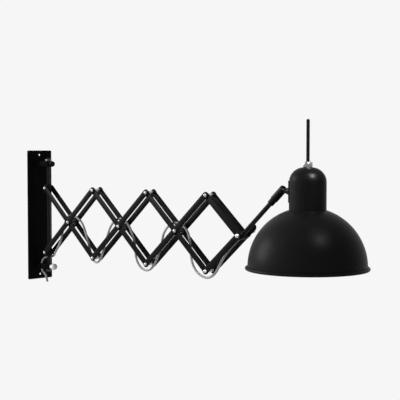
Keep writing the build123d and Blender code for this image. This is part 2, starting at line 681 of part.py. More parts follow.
def bulb_body(inset):
    """Closed glass form of the bulb, drawn in by an inset."""
    seat = bulb_seat_z()
    radius = BULB_RADIUS - inset
    neck = BULB_NECK_RADIUS - inset
    centre = seat - BULB_LENGTH + BULB_RADIUS
    # the neck runs as a tangent cone onto the ball of the bulb
    run = seat - centre
    distance = hypot(run, neck)
    tangent = atan2(run, neck) - (pi / 2 - asin(radius / distance))
    touch = (radius * cos(tangent), centre + radius * sin(tangent))
    midway = (tangent - pi / 2) / 2
    profile = [
        Line((0, seat), (neck, seat)),
        Line((neck, seat), touch),
        ThreePointArc(touch, (radius * cos(midway), centre + radius * sin(midway)), (0, centre - radius)),
        Line((0, centre - radius), (0, seat)),
    ]
    return turned(profile)


def bulb_glass():
    """Thin-walled glass of the bulb."""
    return bulb_body(0) - bulb_body(BULB_GLASS)


def bulb_cap():
    """Screw cap of the bulb, inside the lampholder."""
    seat = bulb_seat_z()
    low = Vector(SHADE_X, 0, seat)
    shoulder = low + Vector(0, 0, BULB_CAP_HEIGHT - BULB_CONTACT_HEIGHT)
    shell = rod_along(low, shoulder, BULB_CAP_DIAMETER / 2)
    return shell + rod_along(shoulder, low + Vector(0, 0, BULB_CAP_HEIGHT), BULB_CONTACT_DIAMETER / 2)


# ---------------------------------------------------------------- cable
# One textile cable, cut where it lies along the middle of each link. The corners are x, y, z.
CABLE_CORNERS = {
    "cable_tail": [
        (31.0, -2.0, -150.0),
        (28.8, -2.4, -139.5),
        (24.4, -3.8, -131.0),
        (16.0, -6.0, -125.8),
        (16.0, -6.0, -104.4),
    ],
    "cable_foot": [
        (19.6, -0.4, -95.6),
        (26.0, 8.4, -94.4),
        (36.5, 11.0, -92.8),
        (44.5, 8.0, -88.4),
        (53.0, 4.0, -82.4),
        (64.0, 1.6, -73.6),
        (75.4, 0.4, -60.4),
        (83.6, 0.0, -42.6),
    ],
    "cable_over_1": [
        (91.0, 0.0, -19.6),
        (99.0, 0.0, -6.4),
        (109.4, 0.0, 2.0),
        (122.6, 0.0, 4.0),
        (137.0, 0.0, -0.6),
        (150.2, 0.0, -7.0),
        (160.8, 0.0, -18.8),
    ],
    "cable_loop_1": [
        (174.6, 0.0, -49.0),
        (180.2, 0.0, -63.8),
        (185.2, 0.0, -78.4),
        (191.8, 0.0, -90.2),
        (204.2, 0.0, -94.6),
        (215.0, 0.0, -88.6),
        (221.8, 0.0, -77.0),
    ],
    "cable_over_2": [
        (238.4, 0.0, -37.8),
        (245.0, 0.0, -23.0),
        (254.0, 0.0, -9.4),
        (266.8, 0.0, 0.8),
        (282.0, 0.0, 4.8),
        (296.6, 0.0, 0.8),
        (308.6, 0.0, -8.8),
        (317.6, 0.0, -21.0),
    ],
    "cable_loop_2": [
        (327.6, 0.0, -45.0),
        (328.2, 0.0, -58.6),
        (330.0, 0.0, -71.6),
        (335.6, 0.0, -84.2),
        (345.8, 0.0, -93.8),
        (360.6, 0.0, -98.4),
        (375.4, 0.0, -94.2),
        (387.0, 0.0, -83.8),
        (395.6, 0.0, -70.0),
    ],
    "cable_over_3": [
        (407.4, 0.0, -45.0),
        (409.4, 0.0, -33.2),
        (413.2, 0.0, -20.6),
        (422.0, 0.0, -8.6),
        (434.8, 0.0, 0.8),
        (449.6, 0.0, 4.8),
        (465.0, 0.0, 1.8),
        (478.0, 0.0, -6.6),
        (486.6, 0.0, -19.0),
    ],
    "cable_loop_3": [
        (490.6, 0.0, -44.0),
        (491.2, 0.0, -56.0),
        (493.2, 0.0, -67.6),
        (498.6, 0.0, -79.2),
        (508.4, 0.0, -89.4),
        (522.6, 0.0, -96.4),
        (538.4, 0.0, -97.8),
        (553.0, 0.0, -91.0),
        (563.8, 0.0, -79.0),
        (571.8, 0.0, -66.0),
    ],
    "cable_entry": [
        (586.0, 0.0, -47.0),
        (596.6, 0.0, -36.6),
        (607.6, 0.0, -27.0),
        tuple(tube_point(CABLE_INLET_DEPTH - SIDE_GAP - HUB_DIAMETER / 2)),
    ],
}


def cable_points(name):
    """Points of one length of cable, which meets its neighbours midway along a run."""
    names = list(CABLE_CORNERS)
    place = names.index(name)
    points = [Vector(*corner) for corner in CABLE_CORNERS[name]]
    if place > 0:
        points.insert(0, (Vector(*CABLE_CORNERS[names[place - 1]][-1]) + points[0]) / 2)
    if place < len(names) - 1:
        points.append((Vector(*CABLE_CORNERS[names[place + 1]][0]) + points[-1]) / 2)
    return points


def arc_radii(points):
    """Largest arc that the two runs at each corner allow."""
    radii = []
    for before, corner, after in zip(points, points[1:], points[2:]):
        turn = radians((corner - before).get_angle(after - corner))
        shorter = min((corner - before).length, (after - corner).length)
        radii.append(ARC_SHARE * shorter / tan(turn / 2))
    return radii


def cable(name):
    """Tube along straight runs joined by tangent arcs."""
    points = cable_points(name)
    radii = arc_radii(points)
    path = FilletPolyline(*points, radius=radii)
    section = Plane(origin=points[0], z_dir=points[1] - points[0]) * Circle(CABLE_DIAMETER / 2)
    tube = sweep(section, path=path)
    expected = pi * (CABLE_DIAMETER / 2) ** 2 * path.length
    print(f"{name}: length {path.length:.1f}, radii {min(radii):.0f} to {max(radii):.0f}", end=", ")
    print(f"volume {tube.volume:.0f} of {expected:.0f}")
    return tube


# ---------------------------------------------------------------- write every piece
os.makedirs("parts", exist_ok=True)

save("wall_plate", wall_plate())
save("rod_lugs", rod_lugs())
save("guide_rod", guide_rod())
save("rod_nuts", rod_nuts())
save("top_knob", knob(LUG_SPACING / 2, TOP_KNOB_DIAMETER, 0))
save("bottom_knob", knob(-LUG_SPACING / 2, BOTTOM_KNOB_DIAMETER, BOTTOM_KNOB_STEM))

RISE_BOSS = OUTER_FACE_Y - SIDE_GAP
FALL_BOSS = INNER_FACE_Y - SIDE_GAP
save("swing_sleeve", sleeve(LOWER_PIVOT_Z, RISE_BOSS))
save("swing_screws", sleeve_screws(LOWER_PIVOT_Z, RISE_BOSS, OUTER_BACK_Y))
save("slide_sleeve", sleeve(UPPER_PIVOT_Z, FALL_BOSS))
save("slide_screws", sleeve_screws(UPPER_PIVOT_Z, FALL_BOSS, INNER_BACK_Y))

for link in range(1, DIAMONDS + 2):
    rise_front, rise_back = rise_link_bars(link)
    save(f"rise_bar_front_{link}", rise_front)
    save(f"rise_bar_back_{link}", rise_back)
    fall_front, fall_back = fall_link_bars(link)
    save(f"fall_bar_front_{link}", fall_front)
    save(f"fall_bar_back_{link}", fall_back)
    bolts = [pivot_bolt(*place) for place, _ in pivot_places(link)]
    if link > DIAMONDS:
        bolts.append(end_bolt())
    nuts = [pivot_nut(*place) for place, _ in pivot_places(link)]
    save(f"pivot_bolts_{link}", Compound(children=bolts + nuts))
    spacers = [pivot_spacer(*place) for place, kind in pivot_places(link) if kind == "spacer"]
    save(f"pivot_spacers_{link}", Compound(children=spacers))
    if link <= DIAMONDS:
        save(f"cable_spool_{link}", cable_spool(*node(2 * link - 1, "middle")))

save("arm_hub", arm_hub())
save("arm_tube", arm_tube())
save("wing_nut", wing_nut())
save("ball_socket", ball_socket())
save("ball_stud", ball_stud())

save("shade_neck", shade_neck())
save("shade_dome", shade_dome())
save("saddle_plate", saddle_plate())
save("saddle_screws", saddle_screws())
save("crown_nut", crown_nut())
save("handle_rod", handle_rod())
save("lampholder", lampholder())
save("bulb_glass", bulb_glass())
save("bulb_cap", bulb_cap())

for cable_name in CABLE_CORNERS:
    save(cable_name, cable(cable_name))
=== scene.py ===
"""Accordion wall lamp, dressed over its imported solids.

Every size is in metres. +X points out of the wall along the arm and +Z up; the arm's mid plane is y = 0.
"""
import logging
import math
from dataclasses import dataclass
from enum import Enum
from typing import Callable, Sequence

import bmesh
import bpy
from mathutils import Matrix, Vector


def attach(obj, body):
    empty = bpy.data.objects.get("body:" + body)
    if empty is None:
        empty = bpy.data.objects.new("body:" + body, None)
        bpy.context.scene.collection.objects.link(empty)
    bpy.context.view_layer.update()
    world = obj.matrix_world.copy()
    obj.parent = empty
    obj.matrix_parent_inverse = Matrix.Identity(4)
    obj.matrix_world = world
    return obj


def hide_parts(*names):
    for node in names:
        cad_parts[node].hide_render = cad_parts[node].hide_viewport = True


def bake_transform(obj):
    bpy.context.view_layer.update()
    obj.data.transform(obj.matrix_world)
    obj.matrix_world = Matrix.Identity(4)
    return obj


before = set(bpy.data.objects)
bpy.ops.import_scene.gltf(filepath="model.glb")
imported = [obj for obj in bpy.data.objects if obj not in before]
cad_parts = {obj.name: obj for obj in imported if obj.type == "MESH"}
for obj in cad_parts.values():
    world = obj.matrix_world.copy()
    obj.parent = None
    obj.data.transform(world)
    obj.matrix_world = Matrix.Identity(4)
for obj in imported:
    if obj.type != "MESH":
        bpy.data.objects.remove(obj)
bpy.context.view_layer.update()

LOG = logging.getLogger("wall_lamp")
Point = tuple[float, float, float]
Flat = tuple[float, float]
Piece = bpy.types.Object
Work = bmesh.types.BMesh
Output = bpy.types.NodeSocket
Node = bpy.types.Node
Tree = bpy.types.NodeTree
Material = bpy.types.Material
MeshData = bpy.types.Mesh
Values = dict[str | int, object]
Sockets = dict[str, float | str]

# The record's most used material slots.
STEEL, ZINC, PLASTIC = "black_steel", "zinc_steel", "black_plastic"
# Edges that turn by more than this many degrees stay crisp.
CRISP_ANGLE = 38.0
# Gap between pieces that move on each other.
PLAY = 0.0003
SIDES = (-1, 1)


# ---------------------------------------------------------------- places
class Level(Enum):
    """Heights of the lattice's three rows of pivots."""

    TOP = 0.061
    MIDDLE = -0.011
    BOTTOM = -0.083


class Face(Enum):
    """Front and back halves of the lattice, by the sign of y."""

    FRONT = -1.0
    BACK = 1.0


@dataclass(frozen=True)
class Layout:
    """Places that more than one sub-assembly is built from."""

    rod_x: float = 0.035
    link_length: float = 0.222
    lattice_height: float = 0.144
    bar_thickness: float = 0.0014
    inner_face: float = 0.009
    outer_face: float = 0.0107
    bolt_radius: float = 0.002
    spacer_half: float = 0.0087
    tube_angle: float = math.radians(41.7)
    ball_distance: float = 0.1275
    shade_offset: float = 0.0593

    @property
    def half_pitch(self) -> float:
        """Run along X from one row of pivots to the next."""
        return math.sqrt(self.link_length**2 - self.lattice_height**2) / 2

    def pivot(self, index: int, level: Level) -> Vector:
        """Place of one pivot on the arm's mid plane.

        Args:
            index: How many half pitches it stands out from the guide rod.
            level: Its row.

        Returns:
            The pivot's centre.
        """
        return Vector((self.rod_x + index * self.half_pitch, 0.0, level.value))

    @property
    def bolt_seat(self) -> float:
        """Y of the outermost bar's outer face."""
        return self.outer_face + self.bar_thickness

    @property
    def hub(self) -> Vector:
        """Centre of the hub at the arm's far end."""
        return self.pivot(7, Level.MIDDLE)

    @property
    def tube_direction(self) -> Vector:
        """Direction of the tube that carries the ball joint."""
        return Vector((math.cos(self.tube_angle), 0.0, math.sin(self.tube_angle)))

    @property
    def ball(self) -> Vector:
        """Centre of the ball joint."""
        return self.hub + self.tube_direction * self.ball_distance

    @property
    def shade_axis(self) -> float:
        """X of the shade's upright axis."""
        return self.ball.x + self.shade_offset


# ---------------------------------------------------------------- mesh work
class MeshKit:
    """Ways of making clean, closed meshes in the lamp's own frame."""

    @staticmethod
    def place(origin: Sequence[float], axis: Sequence[float], side: Sequence[float] | None = None) -> Matrix:
        """Matrix that stands local Z along an axis.

        Args:
            origin: Where local zero goes.
            axis: Where local Z points.
            side: Roughly where local X points.

        Returns:
            The placing matrix.
        """
        up = Vector(axis).normalized()
        if side is None:
            side = (1, 0, 0) if abs(up.x) < 0.9 else (0, 1, 0)
        hint = Vector(side)
        across = (hint - up * hint.dot(up)).normalized()
        turn = Matrix((across, up.cross(across), up)).transposed().to_4x4()
        return Matrix.Translation(Vector(origin)) @ turn

    @staticmethod
    def linked(name: str, data: bpy.types.ID) -> Piece:
        """Make an object of some data and link it to the scene."""
        piece = bpy.data.objects.new(name, data)
        bpy.context.scene.collection.objects.link(piece)
        return piece

    @staticmethod
    def finish(name: str, work: Work, angle: float = CRISP_ANGLE) -> Piece:
        """Turn mesh work into a linked object with clean normals and smooth shading.

        Args:
            name: The object's name.
            work: The mesh, which is freed.
            angle: Edges that turn by more than this many degrees stay crisp.

        Returns:
            The object, at the origin.
        """
        bmesh.ops.remove_doubles(work, verts=work.verts, dist=1e-6)
        bmesh.ops.recalc_face_normals(work, faces=work.faces)
        limit = math.radians(angle)
        for face in work.faces:
            face.smooth = True
        for edge in work.edges:
            edge.smooth = not (len(edge.link_faces) == 2 and edge.calc_face_angle(0.0) > limit)
        mesh = bpy.data.meshes.new(name)
        work.to_mesh(mesh)
        work.free()
        return MeshKit.linked(name, mesh)

    @staticmethod
    def eased(points: Sequence[Flat], radius: float, steps: int = 3, closed: bool = False) -> list[Flat]:
        """Round the corners of a flat line.

        Args:
            points: Corners of the line.
            radius: How far from each corner the rounding starts, at most.
            steps: Straight pieces in each rounding.
            closed: Whether the last point joins the first.

        Returns:
            The line with its corners rounded.
        """
        rounded: list[Flat] = []
        count = len(points)
        for index, corner in enumerate(points):
            if not closed and index in (0, count - 1):
                rounded.append(corner)
                continue
            middle = Vector(corner)
            before = Vector(points[index - 1]) - middle
            after = Vector(points[(index + 1) % count]) - middle
            reach = min(radius, before.length * 0.45, after.length * 0.45)
            start, end = middle + before.normalized() * reach, middle + after.normalized() * reach
            for step in range(steps + 1):
                t = step / steps
                point = start * (1 - t) ** 2 + middle * (2 * t * (1 - t)) + end * t**2
                rounded.append((point.x, point.y))
        return rounded

    @staticmethod
    def box(left: float, right: float, low: float, high: float) -> list[Flat]:
        """Corners of a flat box; as a profile, it makes a drum or a tube's wall."""
        return [(left, low), (right, low), (right, high), (left, high)]

    @staticmethod
    def arc(centre: Flat, radius: float, start: float, end: float, steps: int) -> list[Flat]:
        """Points along a circular arc, in degrees from the first flat axis."""
        angles = [math.radians(start + (end - start) * step / steps) for step in range(steps + 1)]
        return [(centre[0] + radius * math.cos(a), centre[1] + radius * math.sin(a)) for a in angles]

    @staticmethod
    def head_arc(radius: float, base: float, height: float) -> list[Flat]:
        """Profile of a rounded screw head, from its rim up to its middle."""
        angles = [math.radians(a) for a in range(0, 91, 9)]
        return [(radius * math.cos(a), base + height * math.sin(a)) for a in angles]

    @staticmethod
    def around(steps: int) -> list[Flat]:
        """Evenly spaced points round a circle of radius one."""
        angles = [2 * math.pi * step / steps for step in range(steps)]
        return [(math.cos(a), math.sin(a)) for a in angles]

    @classmethod
    def circle(cls, centre: Flat, radius: float, steps: int = 32) -> list[Flat]:
        """Points round any circle."""
        return [(centre[0] + radius * c, centre[1] + radius * s) for c, s in cls.around(steps)]

    @staticmethod
    def stitch(work: Work, rows: Sequence[list], closed: bool = False, wrap: bool = True) -> list[bmesh.types.BMFace]:
        """Join each row of mesh points to the next with faces.

        Args:
            work: The mesh that takes the faces.
            rows: Rows of equally many points.
            closed: Whether the last row joins the first.
            wrap: Whether each row is a ring.

        Returns:
            The faces, row by row.
        """
        faces = []
        count = len(rows[0])
        for low, high in list(zip(rows, rows[1:])) + ([(rows[-1], rows[0])] if closed else []):
            for here in range(count if wrap else count - 1):
                there = (here + 1) % count
                corners = dict.fromkeys((low[here], low[there], high[there], high[here]))
                if len(corners) > 2:
                    faces.append(work.faces.new(tuple(corners)))
        return faces

    @classmethod
    def add_turned(cls, work: Work, profile: Sequence[Flat], matrix: Matrix, steps: int = 48,
                   closed: bool = False) -> None:
        """Add a turned form to mesh work.

        Args:
            work: The mesh that takes it.
            profile: Radius and height of each point, from one end to the other.
            matrix: Where the turning axis, local Z, goes.
            steps: Faces round the axis.
            closed: Whether the profile is a ring, as of a tube's wall.
        """
        rings = []
        for radius, height in profile:
            if radius < 1e-7:
                rings.append([work.verts.new(matrix @ Vector((0, 0, height)))] * steps)
            else:
                ring = [Vector((radius * c, radius * s, height)) for c, s in cls.around(steps)]
                rings.append([work.verts.new(matrix @ point) for point in ring])
        cls.stitch(work, rings, closed)

    @classmethod
    def turned(cls, name: str, profile: Sequence[Flat], matrix: Matrix, steps: int = 48,
               closed: bool = False) -> Piece:
        """Make one turned object from a profile of radius and height."""
        work = bmesh.new()
        cls.add_turned(work, profile, matrix, steps, closed)
        return cls.finish(name, work)

    @classmethod
    def add_hexagon(cls, work: Work, size: Point, matrix: Matrix, drops: Flat, steps: int = 60) -> None:
        """Add a hexagon nut whose corners are turned down.

        Args:
            work: The mesh that takes it.
            size: Its width across flats, its height and the radius of its hole.
            matrix: Where its axis, local Z, goes.
            drops: How far the corners are turned down at its top and at its bottom.
            steps: Faces round it, a multiple of six.
        """
        flats, height, bore = size
        half = flats / 2
        corner, rim = half / math.cos(math.pi / 6), half * 0.94
        ease = min(flats, height) * 0.035
        turn = 2 * math.pi / steps
        outline = [half / math.cos(step * turn % (math.pi / 3) - math.pi / 6) for step in range(steps)]
        levels = [([bore] * steps, ease * 2), ([bore + ease * 2] * steps, 0.0), ([rim] * steps, 0.0),
                  ([reach - ease for reach in outline], 0.0), (outline, ease)]
        rings = []
        for is_top, rows in ((False, levels), (True, levels[::-1])):
            for reaches, lift in rows:
                ring = []
                for (c, s), reach in zip(cls.around(steps), reaches):
                    down = max(0.0, reach - rim) / (corner - rim)
                    level = height - down * drops[0] - lift if is_top else down * drops[1] + lift
                    ring.append(work.verts.new(matrix @ Vector((reach * c, reach * s, level))))
                rings.append(ring)
        cls.stitch(work, rings, closed=True)

    @staticmethod
    def bake(holder: Piece) -> MeshData:
        """Swap an object for the plain mesh that its curve or its modifiers make."""
        bpy.context.view_layer.update()
        mesh = bpy.data.meshes.new_from_object(holder.evaluated_get(bpy.context.evaluated_depsgraph_get()))
        bpy.data.objects.remove(holder)
        return mesh

    @classmethod
    def bake_curve(cls, curve: bpy.types.Curve) -> MeshData:
        """Swap a curve for the plain mesh that it makes."""
        mesh = cls.bake(cls.linked(curve.name, curve))
        bpy.data.curves.remove(curve)
        return mesh

    @classmethod
    def add_slab(cls, work: Work, outlines: Sequence[Sequence[Flat]], thickness: float, edge: float,
                 matrix: Matrix) -> None:
        """Add a flat part with rounded edges and holes.

        Args:
            work: The mesh that takes it.
            outlines: The outer line, then one line for each hole.
            thickness: Its thickness, centred on local Z zero.
            edge: Radius of its rounded edges.
            matrix: Where it goes.
        """
        curve = bpy.data.curves.new("outline", "CURVE")
        curve.dimensions = "2D"
        curve.fill_mode = "BOTH"
        curve.extrude = thickness / 2 - edge
        curve.bevel_depth = edge
        curve.bevel_resolution = 2
        curve.offset = -edge
        for outline in outlines:
            spline = curve.splines.new("POLY")
            spline.points.add(len(outline) - 1)
            spline.use_cyclic_u = True
            for point, (x, y) in zip(spline.points, outline):
                point.co = (x, y, 0, 1)
        mesh = cls.bake_curve(curve)
        mesh.transform(matrix)
        work.from_mesh(mesh)
        bpy.data.meshes.remove(mesh)

    @classmethod
    def slab(cls, name: str, outlines: Sequence[Sequence[Flat]], thickness: float, edge: float,
             matrix: Matrix) -> Piece:
        """Make one flat part with rounded edges and holes."""
        work = bmesh.new()
        cls.add_slab(work, outlines, thickness, edge, matrix)
        return cls.finish(name, work)

    @classmethod
    def settle(cls, piece: Piece, angle: float = CRISP_ANGLE) -> Piece:
        """Swap a piece for a new one of the same name, with no modifiers left to run."""
        name = piece.name
        mesh = cls.bake(piece)
        materials = list(mesh.materials)
        work = bmesh.new()
        work.from_mesh(mesh)
        bpy.data.meshes.remove(mesh)
        settled = cls.finish(name, work, angle)
        for material in materials:
            settled.data.materials.append(material)
        return settled

    @classmethod
    def cut(cls, piece: Piece, cutters: Sequence[Piece]) -> Piece:
        """Cut other solids out of a piece, and take the cutters away."""
        for cutter in cutters:
            modifier = piece.modifiers.new("cut", "BOOLEAN")
            modifier.operation = "DIFFERENCE"
            modifier.solver = "EXACT"
            modifier.object = cutter
        settled = cls.settle(piece)
        for cutter in cutters:
            bpy.data.objects.remove(cutter)
        return settled


# ---------------------------------------------------------------- node trees
class NodeTools:
    """Short ways of adding nodes and links to a node tree."""

    def __init__(self, tree: Tree) -> None:
        """Keep the tree that nodes are added to."""
        self.tree = tree

    def feed(self, node: Node, inputs: Values) -> None:
        """Give a node's inputs, by name or number, values or other nodes' outputs."""
        for key, value in inputs.items():
            if isinstance(value, bpy.types.NodeSocket):
                self.tree.links.new(value, node.inputs[key])
            else:
                node.inputs[key].default_value = value

    def node(self, kind: str, inputs: Values | None = None, **settings: object) -> Node:
        """Add a node.

        Args:
            kind: The node's type name.
            inputs: Values or sockets for its inputs, by name or number.
            **settings: Properties of the node itself.

        Returns:
            The node.
        """
        made = self.tree.nodes.new(kind)
        for key, value in settings.items():
            setattr(made, key, value)
        self.feed(made, inputs or {})
        return made

    def math(self, operation: str, *values: object, clamp: bool = False) -> Output:
        """Add a Math node and return its result."""
        return self.node("ShaderNodeMath", dict(enumerate(values)), operation=operation, use_clamp=clamp).outputs[0]

    def mix(self, factor: object, first: object, second: object) -> Output:
        """Mix two colours and return the result."""
        return self.node("ShaderNodeMix", {0: factor, 6: first, 7: second}, data_type="RGBA").outputs[2]

    def noise(self, place: Output, scale: object, detail: float, roughness: float = 0.5, **others: float) -> Output:
        """Add a Noise Texture and return its value."""
        inputs = {"Vector": place, "Scale": scale, "Detail": detail, "Roughness": roughness, **others}
        return self.node("ShaderNodeTexNoise", inputs).outputs[0]

    def remap(self, value: Output, low: float, high: float) -> Output:
        """Stretch a range of values to 0 to 1."""
        return self.node("ShaderNodeMapRange", {0: value, 1: low, 2: high}).outputs[0]

    def ramp(self, factor: Output, stops: tuple[Flat, Flat]) -> Output:
        """Pass a value through a ramp between two greys and return its colour."""
        node = self.node("ShaderNodeValToRGB", {0: factor})
        for element, (place, grey) in zip(node.color_ramp.elements, stops):
            element.position = place
            element.color = (grey, grey, grey, 1.0)
        return node.outputs[0]

    def object_place(self) -> Output:
        """Place on the object, in its own coordinates."""
        return self.node("ShaderNodeTexCoord").outputs["Object"]

    def seen(self) -> Output:
        """One for rays that show something to the camera, directly, mirrored or through glass, or else zero."""
        rays = self.node("ShaderNodeLightPath").outputs
        mirrored = self.math("MAXIMUM", rays["Is Glossy Ray"], rays["Is Transmission Ray"])
        return self.math("MAXIMUM", rays["Is Camera Ray"], mirrored)


class GroupTools(NodeTools):
    """Node tools on a new group, with its sockets and its two end nodes."""

    def __init__(self, name: str, kind: str, inputs: Sockets, outputs: Sockets) -> None:
        """Start the group.

        Args:
            name: Its name.
            kind: The type name of its tree.
            inputs: Its inputs, each with a number as its default, or else the name of another type.
            outputs: Its outputs, said in the same way.
        """
        super().__init__(bpy.data.node_groups.new(name, kind))
        for direction, sockets in (("INPUT", inputs), ("OUTPUT", outputs)):
            for socket, value in sockets.items():
                kind = value if isinstance(value, str) else "Float"
                item = self.tree.interface.new_socket(socket, in_out=direction, socket_type=f"NodeSocket{kind}")
                if not isinstance(value, str):
                    item.default_value = value
        self.given = self.tree.nodes.new("NodeGroupInput").outputs
        self.out = self.tree.nodes.new("NodeGroupOutput")

    def close(self, outputs: dict[str, Output]) -> Tree:
        """Join results to the group's outputs and return its tree."""
        self.feed(self.out, outputs)
        return self.tree


class Effects:
    """Shader node groups that more than one finish uses."""

    def __init__(self) -> None:
        """Build each group once."""
        self.grain = self._grain()
        self.handling = self._handling()
        self.brushing = self._brushing()
        self.braid = self._braid()

    @staticmethod
    def _grain() -> Tree:
        """Fine orange-peel grain of a sprayed or moulded skin."""
        inputs = {"Scale": 900.0, "Depth": 0.4, "Pits": 0.2}
        tools = GroupTools("Skin grain", "ShaderNodeTree", inputs, {"Height": 0.0, "Tone": 0.0})
        place = tools.object_place()
        fine = tools.noise(place, tools.given["Scale"], 3.0, 0.55)
        spots = {"Vector": place, "Scale": tools.given["Scale"]}
        cells = tools.node("ShaderNodeTexVoronoi", spots, feature="SMOOTH_F1")
        peel = tools.math("MULTIPLY", fine, tools.given["Depth"])
        pits = tools.math("MULTIPLY", cells.outputs["Distance"], tools.given["Pits"])
        return tools.close({"Height": tools.math("ADD", peel, pits), "Tone": tools.noise(place, 22.0, 4.0, 0.6)})

    @staticmethod
    def _handling() -> Tree:
        """Faint smudges and hair scratches from hands and cloths."""
        tools = GroupTools("Handling", "ShaderNodeTree", {"Amount": 0.5}, {"Smudge": 0.0, "Scratch": 0.0})
        place, amount = tools.object_place(), tools.given["Amount"]
        smudge = tools.remap(tools.noise(place, 34.0, 5.0, 0.65, Distortion=0.6), 0.42, 0.75)
        along = {"Vector": place, "Rotation": (0.5, 0.3, 0.9), "Scale": (40.0, 900.0, 900.0)}
        scratch = tools.remap(tools.noise(tools.node("ShaderNodeMapping", along).outputs[0], 1.0, 2.0), 0.66, 0.70)
        marks = {"Smudge": smudge, "Scratch": scratch}
        return tools.close({name: tools.math("MULTIPLY", mark, amount) for name, mark in marks.items()})

    @staticmethod
    def _brushing() -> Tree:
        """Turning marks and dulled patches of plated metal."""
        tools = GroupTools("Plated metal marks", "ShaderNodeTree", {"Depth": 0.3}, {"Height": 0.0, "Dull": 0.0})
        place = tools.object_place()
        height = tools.math("MULTIPLY", tools.noise(place, 2600.0, 2.0), tools.given["Depth"])
        return tools.close({"Height": height, "Dull": tools.remap(tools.noise(place, 320.0, 4.0, 0.6), 0.35, 0.7)})

    @staticmethod
    def _braid() -> Tree:
        """Plaited textile sleeve, laid out on the cord's own UV map: U round it, V along it in metres."""
        inputs = {"Carriers": 8.0, "Pitch": 0.009}
        tools = GroupTools("Braided sleeve", "ShaderNodeTree", inputs, {"Height": 0.0, "Over": 0.0, "Fuzz": 0.0})
        layout = tools.node("ShaderNodeUVMap", uv_map="UVMap").outputs[0]
        parts = tools.node("ShaderNodeSeparateXYZ", {0: layout}).outputs
        carriers = tools.given["Carriers"]
        around = tools.math("MULTIPLY", parts[0], carriers)
        along = tools.math("MULTIPLY", tools.math("DIVIDE", parts[1], tools.given["Pitch"]), carriers)
        waves, crossings = [], []
        for run in (tools.math("ADD", around, along), tools.math("SUBTRACT", around, along)):
            phase = tools.math("MULTIPLY", run, math.pi * 2)
            waves.append(tools.math("MULTIPLY_ADD", tools.math("SINE", phase), 0.5, 0.5))
            crossings.append(tools.math("SINE", tools.math("MULTIPLY", run, math.pi)))
        over = tools.math("GREATER_THAN", tools.math("MULTIPLY", *crossings), 0.0)
        upper = tools.math("MULTIPLY", waves[0], over)
        lower = tools.math("MULTIPLY", waves[1], tools.math("SUBTRACT", 1.0, over))
        fuzz = tools.noise(tools.object_place(), 1800.0, 3.0, 0.7)
        return tools.close({"Height": tools.math("ADD", upper, lower), "Over": over, "Fuzz": fuzz})


# ---------------------------------------------------------------- finishes
class Skin(NodeTools):
    """Node tools on a new material with a Principled shader."""

    def __init__(self, name: str) -> None:
        """Start the material, with its shader joined to the output."""
        self.material = bpy.data.materials.new(name)
        self.material.use_nodes = True
        self.material.node_tree.nodes.clear()
        super().__init__(self.material.node_tree)
        self.shader = self.node("ShaderNodeBsdfPrincipled")
        self.node("ShaderNodeOutputMaterial", {"Surface": self.shader.outputs[0]})

    def effect(self, tree: Tree, **inputs: float) -> bpy.types.NodeOutputs:
        """Use a shared effect and return its outputs."""
        return self.node("ShaderNodeGroup", inputs, node_tree=tree).outputs

    def close(self, sockets: dict[str, object], bump: tuple[float, float, Output] | None = None) -> Material:
        """End the material.

        Args:
            sockets: Values or results for the shader's own sockets.
            bump: Strength, distance and height of its bump, if it has one.

        Returns:
            The material.
        """
        if bump:
            node = self.node("ShaderNodeBump", dict(zip(("Strength", "Distance", "Height"), bump)))
            sockets = {**sockets, "Normal": node.outputs[0]}
        self.feed(self.shader, sockets)
        return self.material


def tint(colour: Point, factor: float = 1.0) -> tuple[float, float, float, float]:
    """Colour made lighter or darker, with full alpha."""
    return (*(part * factor for part in colour), 1.0)


@dataclass(frozen=True)
class PaintedSteel:
    """Satin powder coat on steel."""

    name: str
    grey: float
    roughness: float
    specular: float
    grain_scale: float
    grain_depth: float = 0.10
    wear: float = 0.5

    def build(self, effects: Effects) -> Material:
        """Make the material: speckled grain, slow tone drift, smudges and hair scratches."""
        skin = Skin(self.name)
        grain = skin.effect(effects.grain, Scale=self.grain_scale, Depth=0.6, Pits=0.3)
        marks = skin.effect(effects.handling, Amount=self.wear)
        low = tint((self.grey * 0.82, self.grey * 0.82, self.grey * 0.86))
        high = tint((self.grey * 1.2, self.grey * 1.2, self.grey * 1.22))
        tone = skin.mix(grain["Tone"], low, high)
        dusted = skin.mix(skin.math("MULTIPLY", marks["Smudge"], 0.05), tone, (0.10, 0.10, 0.105, 1))
        worn = skin.mix(skin.math("MULTIPLY", marks["Scratch"], 0.12), dusted, (0.13, 0.13, 0.13, 1))
        rough = skin.math("MULTIPLY_ADD", marks["Smudge"], 0.10, self.roughness - 0.04)
        rough = skin.math("MULTIPLY_ADD", grain["Tone"], 0.08, rough, clamp=True)
        sockets = {"Base Color": worn, "Roughness": rough, "Specular IOR Level": self.specular}
        return skin.close(sockets, (self.grain_depth, 0.0002, grain["Height"]))


@dataclass(frozen=True)
class PlatedMetal:
    """Plated, polished or cast metal."""

    name: str
    colour: Point
    roughness: float
    depth: float = 0.06
    spread: float = 0.16
    metallic: float = 1.0

    def build(self, effects: Effects) -> Material:
        """Make the material: fine marks, dull patches and a slight tint in them."""
        skin = Skin(self.name)
        marks = skin.effect(effects.brushing, Depth=0.5)
        colour = skin.mix(marks["Dull"], tint(self.colour), tint(self.colour, 0.78))
        rough = skin.math("MULTIPLY_ADD", marks["Dull"], self.spread, self.roughness, clamp=True)
        sockets = {"Base Color": colour, "Roughness": rough, "Metallic": self.metallic}
        return skin.close(sockets, (self.depth, 0.0001, marks["Height"]))


